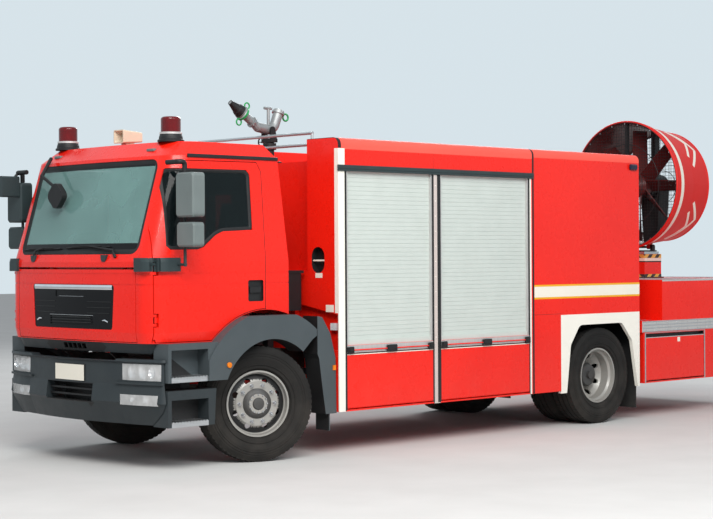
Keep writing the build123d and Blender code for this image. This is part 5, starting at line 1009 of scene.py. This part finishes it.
def lug_shape(way):
    """One shoulder lug at its place on a tyre whose axis is Z, on one side of its middle."""
    foot_r, inner_r, outer_r, half = 0.5085, 0.5214, 0.5172, 0.0165
    z0, z1 = sorted((way * 0.081, way * 0.124))
    foot = [Vector((foot_r, y, z)) for y, z in ((-half, z0), (half, z0), (half, z1), (-half, z1))]
    top = [Vector((inner_r if abs(c.z) < 0.1 else outer_r, c.y * 0.93, c.z)) for c in foot]
    return small_shape(lambda bm: add_prism(bm, foot, top))


LUGS = [lug_shape(way) for way in (-1, 1)]


def dress_tyre(name, body, middle, change=None):
    """Shoulder lugs and raised side rings of one tyre."""
    about_y = (-math.pi / 2, 0, 0)
    meshes = [grow(RING, lug, TYRE, Count=64, Radius=0.0001, Turn=about_y, Place=middle) for lug in LUGS]
    bm = bmesh.new()
    for way in (-1, 1):
        for r, reach in SIDE_RINGS:
            top = way * (reach + 2.2)
            ring = [(way * reach, r - 5), (top, r - 2.5), (top, r + 2.5), (way * reach, r + 5)]
            add_lathe(bm, ring, middle, (0, 1, 0), 96)
    bmesh.ops.recalc_face_normals(bm, faces=bm.faces)
    rings = bpy.data.meshes.new("side rings")
    bm.to_mesh(rings)
    bm.free()
    joined_piece([*meshes, rings], name, body, change)


HUB_COVER = ((-4, 136), (6, 136), (9, 132), (30, 112), (35, 98), (35, 58), (44, 54), (52, 46), (54, 30),
             (54, 0))
NUT_RING = ((0.3, 132), (3.5, 136), (3.5, 198), (0.3, 203))
for side, sign in SIDES:
    body = "front_wheel_" + side
    pin = Matrix.Translation(place(0, sign * KING_PIN_Y, WHEEL_Z))
    turn = pin @ Matrix.Rotation(math.radians(-STEER_AT_REST), 4, "Z") @ pin.inverted()
    dress_tyre("front_tread_" + side, body, place(0, sign * FRONT_WHEEL_Y, WHEEL_Z), turn)
    outward = (-sign * math.pi / 2, 0, 0)
    face = sign * (FRONT_WHEEL_Y + DISC_OUT)
    for name, shape, count, radius, lift in (("front_nuts_", nut, 10, 0.1675, 0.5),
                                             ("hub_bolts_", hub_bolt, 12, 0.082, 34)):
        nuts = grow(RING, shape, STEEL, Count=count, Radius=radius, Turn=outward,
                    Place=place(0, face + sign * lift, WHEEL_Z))
        joined_piece([nuts], name + side, body, turn)
    disc, axis = place(0, face, WHEEL_Z), (0, sign, 0)
    cover = lathes("hub_cover_" + side, body, CAST, [(HUB_COVER, disc, axis)], 48, False)
    ring = lathes("nut_ring_" + side, body, WHEELSILVER, [(NUT_RING, disc, axis)], 64)
    for piece in (cover, ring):
        piece.data.transform(turn)
    for y in (740, 1062):
        dress_tyre("rear_tread_%s_%d" % (side, y), "rear_wheel_" + side, place(REAR_AXLE, sign * y, WHEEL_Z))


# Fan: wire guards, rings and pale stripes

DUCT = ((335, 780), (220, 766), (80, 742), (-80, 718), (-260, 698), (-455, 675))   # offset and outside radius
DUCT_AXIS = (1, 0, 0)
TO_DUCT_AXIS = (0, math.pi / 2, 0)      # turns a tree's Z axis along the duct
duct_skin = skin_of("fan_shroud")


def duct_place(offset):
    return place(FAN_D + offset, 0, FAN_Z)


def duct_radius(x):
    """Outside radius of the duct at an offset along its axis."""
    for (x1, r1), (x0, r0) in zip(DUCT, DUCT[1:]):
        if x0 <= x <= x1:
            return r0 + (r1 - r0) * (x - x0) / (x1 - x0)


def on_duct(x, angle, lift):
    """Place on the duct's outside, found by a look straight in towards its axis."""
    out = Vector((0, math.cos(angle), math.sin(angle)))
    spot = duct_skin.ray_cast(duct_place(x) + out * (duct_radius(x) + 60) / 1000, -out, 0.12)[0]
    if spot is None:
        spot = duct_place(x) + out * duct_radius(x) / 1000
    return spot + out * (lift / 1000)


def duct_stripe(bm, path, half, lift=1.6):
    """Stripe of one width along a line of (offset along the axis, degrees) on the duct."""
    flat_r = 700        # the radius at which the stripe is laid out flat
    fine = []
    for (x0, a0), (x1, a1) in zip(path, path[1:]):
        steps = max(2, int(max(abs(x1 - x0) / 12, abs(a1 - a0) / 1.5)))
        fine += [(x0 + (x1 - x0) * k / steps, a0 + (a1 - a0) * k / steps) for k in range(steps)]
    flat = [Vector((x, math.radians(a) * flat_r)) for x, a in fine + path[-1:]]
    left, right = [], []
    for i, p in enumerate(flat):
        along = (flat[min(i + 1, len(flat) - 1)] - flat[max(i - 1, 0)]).normalized()
        left.append(p + Vector((-along.y, along.x)) * half)
        right.append(p - Vector((-along.y, along.x)) * half)
    rows = []
    for line, out in ((left, lift), (right, lift), (right, 0.2), (left, 0.2)):
        rows.append([bm.verts.new(on_duct(max(-452, min(333, q.x)), q.y / flat_r, out)) for q in line])
    fill_rows(bm, rows + rows[:1])
    for i in (0, -1):
        bm.faces.new([row[i] for row in rows])


wire = small_shape(lambda bm: add_tube(bm, [Vector((-1, 0, 0)), Vector((1, 0, 0))], 0.0019, 5))
for name, count, radius, pitch, offset in (("inlet_guard", 40, 0.766, 0.0385, 318),
                                           ("outlet_guard", 18, 0.66, 0.075, -441)):
    guard = grow(GUARD, wire, BLACK, Count=count, Radius=radius, Pitch=pitch, Turn=TO_DUCT_AXIS,
                 Place=duct_place(offset))
    joined_piece([guard], name, "fan_case")
rings = [(round_section(r, 4, 6), duct_place(offset), DUCT_AXIS)
         for offset, radii in ((322, (756, 500, 250)), (-446, (650, 420, 200))) for r in radii]
lathes("guard_rings", "fan_case", BLACK, rings, 72, smooth=50)
front, rear = duct_radius(238), duct_radius(168)
stripe = [(238, front + 0.3), (238, front + 2), (168, rear + 2), (168, rear + 0.3)]
lathes("duct_ring_stripe", "fan_case", WHITE, [(stripe, duct_place(0), DUCT_AXIS)], 96)
crest = duct_radius(262) + 4
hoop = [(276, duct_radius(276) + 0.2), (274, crest), (250, crest), (248, duct_radius(248) + 0.2)]
lathes("duct_hoops", "fan_case", FANRED, [(hoop, duct_place(0), DUCT_AXIS)], 96)
bm = bmesh.new()
for start, ways in ((0, (1, -1)), (180, (-1, 1))):
    for way in ways:
        for path in (((-60, 66), (-235, 46), (-95, 28)), ((-120, 68), (-350, 38), (-140, 18))):
            duct_stripe(bm, [(x, start + way * a) for x, a in path], 21)
finish_piece(bm, "duct_slanted_stripes", "fan_case", WHITE)
for name, body, count, radius, offset in (("guard_nuts", "fan_case", 24, 0.752, 324),
                                          ("hub_nuts", "fan_blades", 8, 0.12, 90)):
    nuts = grow(RING, bolt(9, 9), STEEL, Count=count, Radius=radius, Turn=TO_DUCT_AXIS,
                Place=duct_place(offset))
    joined_piece([nuts], name, body)

# Lift column: warning stripes, bands, foot and its bolts
COLUMN = 170


def round_column(low, high, out):
    """Four plates round the square column."""
    a, b = COLUMN + 0.2, COLUMN + out
    return [((FAN_D - b, FAN_D + b), (a, b), (low, high)), ((FAN_D - b, FAN_D + b), (-b, -a), (low, high)),
            ((FAN_D + a, FAN_D + b), (-a, a), (low, high)), ((FAN_D - b, FAN_D - a), (-a, a), (low, high))]


hazard = round_column(1790, 1835, 1.6) + round_column(1556, 1592, 1.6)
slabs("column_warning_stripes", "chassis", HAZARD, hazard, 0.4)
slabs("column_pale_band", "chassis", WHITE, round_column(1752, 1789, 1.4), 0.3)
slabs("column_foot", "chassis", BLACK, round_column(DECK_TOP + 0.2, 1555.5, 26), 2)
slabs("column_dark_band", "chassis", BLACK, round_column(1738, 1751.5, 1.2), 0.3)
rows = [grow(GRID, bolt(8, 7), STEEL, Along=4, Across=2, Step_along=(0, 0.1, 0), Step_across=(-0.366, 0, 0),
             Place=place(FAN_D + 183, -150, 1555)),
        grow(GRID, bolt(8, 7), STEEL, Along=3, Across=2, Step_along=(0.1, 0, 0), Step_across=(0, 0.366, 0),
             Place=place(FAN_D - 100, -183, 1555))]
joined_piece(rows, "column_bolts", "chassis")


# Rear deck: metal band and its ribs, edging, tread pattern and lamps

DECK_FRONT, DECK_EDGE = -5812, (DECK_TOP + 0.2, DECK_TOP + 2.6)
wall_slabs("deck_band", EDGING, [((-5432, TAIL + 2), (0.2, 2.6), (963, 1087))], 1)
ribs = [((-5434, TAIL + 2), (2.5, 5.5), (z, z + 9)) for z in (966, 1004, 1038, 1076)]
wall_slabs("deck_band_ribs", SILVER, ribs, 1.2)
edging = both([((DECK_FRONT, TAIL + 1), (SIDE + 0.2, SIDE + 2.4), (1528, 1547)),
               ((DECK_FRONT, TAIL + 1), (SIDE - 30, SIDE + 2.4), DECK_EDGE)])
edging += [(d, (30 - SIDE, SIDE - 30), DECK_EDGE) for d in ((TAIL + 1, TAIL + 32), (-5811, -5835))]
slabs("deck_edging", "chassis", EDGING, edging, 0.6)
TREAD_PLATES = ((-5880, -6880, 1180, DECK_TOP), (-7360, -7940, 1180, DECK_TOP), (-5450, -5790, 1200, 1090),
                (-980, -3560, 760, ROOF_DECK), (-4480, -4560, 700, ROOF_DECK))     # ends, half width, height
bar_along, bar_across = block(15, (-3.5, 3.5), (0, 2.6), 1.2), block(3.5, (-15, 15), (0, 2.6), 1.2)
treads = []
for d0, d1, half, z in TREAD_PLATES:
    for shape, shift in ((bar_along, 0), (bar_across, 40)):
        first = place(d0 - shift, 30 - half, z + 0.2)
        treads.append(grow(GRID, shape, SILVER, Along=int((d0 - d1) / 80), Across=int(half / 40),
                           Step_along=(-0.08, 0, 0), Step_across=(0, 0.08, 0), Place=first))
joined_piece(treads, "tread_plate", "chassis")
lamps = [(material, sign * y) for sign in (-1, 1)
         for material, y in ((REDLENS, 900), (AMBER, 985), (PALELENS, 1070))]
for i, (material, y) in enumerate(lamps):
    box = ((-7965.5, -7967.5), (y - 36, y + 36), (455, 525))
    slabs("tail_lamp_%d" % (i + 1), "chassis", material, [box], 0.8)
wall_slabs("side_reflectors", AMBER, [((-7900, -7820), (2.4, 7), (1014, 1035))], 2)

# Hatches under the deck: upper edge with its bright trim, and a blank tag
for side, sign in SIDES:
    for part, material, slot, d, off, z, edge in (
            ("top", RED, "red_paint", (-5490, -6632), (1228, 1250), (812, 900), 2),
            ("trim", EDGING, "silver", (-5490, -6632), (1226, 1251.5), (896, 904), 1.5),
            ("tag", WHITE, "cream_paint", (-6100, -6150), (1250.2, 1251.4), (838, 888), 0.4)):
        box = (d, [sign * y for y in off], z)
        slabs("hatch_%s_%s" % (part, side), "hatch_" + side, material, [box], edge)


# Monitor: grips, tip, ribs and bolts; its barrel aims from END to TIP

START, BEND = place(-1150, 0, 3262), place(-1078, 0, 3080)
END, TIP = place(-880, 0, 3108), place(-667, 0, 3245)
AIM = (TIP - END).normalized()
ACROSS = Vector((-AIM.z, 0, AIM.x))
REACH = (TIP - END).length * 1000
ACROSS_VEHICLE = (0, 1, 0)
bm = bmesh.new()
for way in (-1, 1):
    centre = END + (AIM * (REACH - 32) + ACROSS * 96 * way) / 1000
    add_lathe(bm, round_section(30, 7.6, 8), centre, ACROSS_VEHICLE, 28)
add_lathe(bm, round_section(34, 9.2, 8), place(-1246, 0, 3221), ACROSS_VEHICLE, 28)
collar = [(REACH - 21, 70.5), (REACH - 21, 73), (REACH - 41, 73), (REACH - 41, 70.5)]
add_lathe(bm, collar, END, AIM, 40)
finish_piece(bm, "monitor_grips", "monitor_gun", GREEN, 50)
tip = ((4, 66.5), (34, 58.5), (38, 60.5), (52, 56.5), (56, 51.5), (150, 25.6), (160, 25.6), (160, 20),
       (60, 20))
turned_tip = ([(REACH + h, r) for h, r in tip], END, AIM)
lathes("monitor_tip", "monitor_gun", BLACK, [turned_tip], 40, False)
ribs = [([(h - 2, 55.2), (h - 1, 57), (h + 1, 57), (h + 2, 55.2)], END, AIM) for h in (74, 80, 86)]
lathes("monitor_collar_ribs", "monitor_gun", STEEL, ribs, 40)
back = (START - BEND).normalized()
turn = back.to_track_quat("Z", "Y").to_euler()
cap_bolts = grow(RING, bolt(6, 6), STEEL, Count=8, Radius=0.056, Turn=turn[:], Place=START + back * 0.011)
joined_piece([cap_bolts], "monitor_cap_bolts", "monitor_gun")
flange_bolts = grow(RING, bolt(9, 9), STEEL, Count=8, Radius=0.098, Turn=(0, 0, 0),
                    Place=place(-1035, 0, ROOF_DECK + 24))
joined_piece([flange_bolts], "monitor_flange_bolts", "chassis")

# Roof lids with hinges and handles
lids = [(d, (-620, 620), (ROOF_DECK + 0.3, ROOF_DECK + 18)) for d in ((-3700, -4420), (-4560, -5280))]
slabs("roof_lids", "chassis", RED, lids, 6)
hinges = []
bm = bmesh.new()
for (d0, d1), _, _ in lids:
    for y in (-400, 400):
        hinges.append(((d1 - 16, d1 + 40), (y - 50, y + 50), (2757, 2769)))
        run = ((y - 60, 2755), (y - 60, 2800), (y + 60, 2800), (y + 60, 2755))
        add_tube(bm, [place(d0 - 40, *p) for p in run], 0.007, 8)
slabs("roof_lid_hinges", "chassis", SILVER, hinges, 3)
finish_piece(bm, "roof_lid_handles", "chassis", STEEL, 50)


# Floor, backdrop and light

FLOOR_HALF = 60
ground = bpy.data.meshes.new("floor")
corners = [(x * FLOOR_HALF, y * FLOOR_HALF, 0) for x, y in ((-1, -1), (1, -1), (1, 1), (-1, 1))]
ground.from_pydata(corners, [], [range(4)])
floor = bpy.data.objects.new("floor", ground)
bpy.context.scene.collection.objects.link(floor)
tones = ((0.60, 0.60, 0.59), (0.56, 0.56, 0.55))
ground.materials.append(surface("floor", tones, (1.5, 4), (0.9, 0.9), (1, 0)))

# The backdrop's own colour shows to the camera and in mirrors and glass; a softer light falls on the vehicle
world = bpy.data.worlds.new("world")
bpy.context.scene.world = world
world.use_nodes = True
sky = world.node_tree
soft = sky.nodes["Background"]
soft.inputs[0].default_value = (0.86, 0.90, 0.95, 1)
soft.inputs[1].default_value = 0.50
seen = node(sky, "ShaderNodeBackground", {0: (0.68, 0.77, 0.82, 1), 1: 1.0})
rays = sky.nodes.new("ShaderNodeLightPath").outputs
looks = calc(sky, "MAXIMUM", rays["Is Camera Ray"], rays["Is Glossy Ray"])
looks = calc(sky, "MAXIMUM", looks, rays["Is Transmission Ray"])
chosen = node(sky, "ShaderNodeMixShader", {0: looks, 1: soft.outputs[0], 2: seen})
feed(sky, sky.nodes["World Output"].inputs["Surface"], chosen)


def add_light(name, where, target, size, power, tint=(1, 1, 1)):
    light = bpy.data.lights.new(name, "AREA")
    light.shape = "RECTANGLE"
    light.size, light.size_y = size
    light.energy = power
    light.color = tint
    lamp = bpy.data.objects.new(name, light)
    lamp.location = where
    lamp.rotation_euler = (Vector(target) - Vector(where)).to_track_quat("-Z", "Y").to_euler()
    bpy.context.scene.collection.objects.link(lamp)


add_light("key", (10.8, 9.8, 11), (0, 0, 1.2), (9, 6), 2150, (1, 0.98, 0.95))
add_light("side", (4, 14, 9.5), (-1, 0, 1.5), (9, 4), 900)
add_light("back", (-10, -9, 9), (0, 0, 1.5), (8, 5), 900)
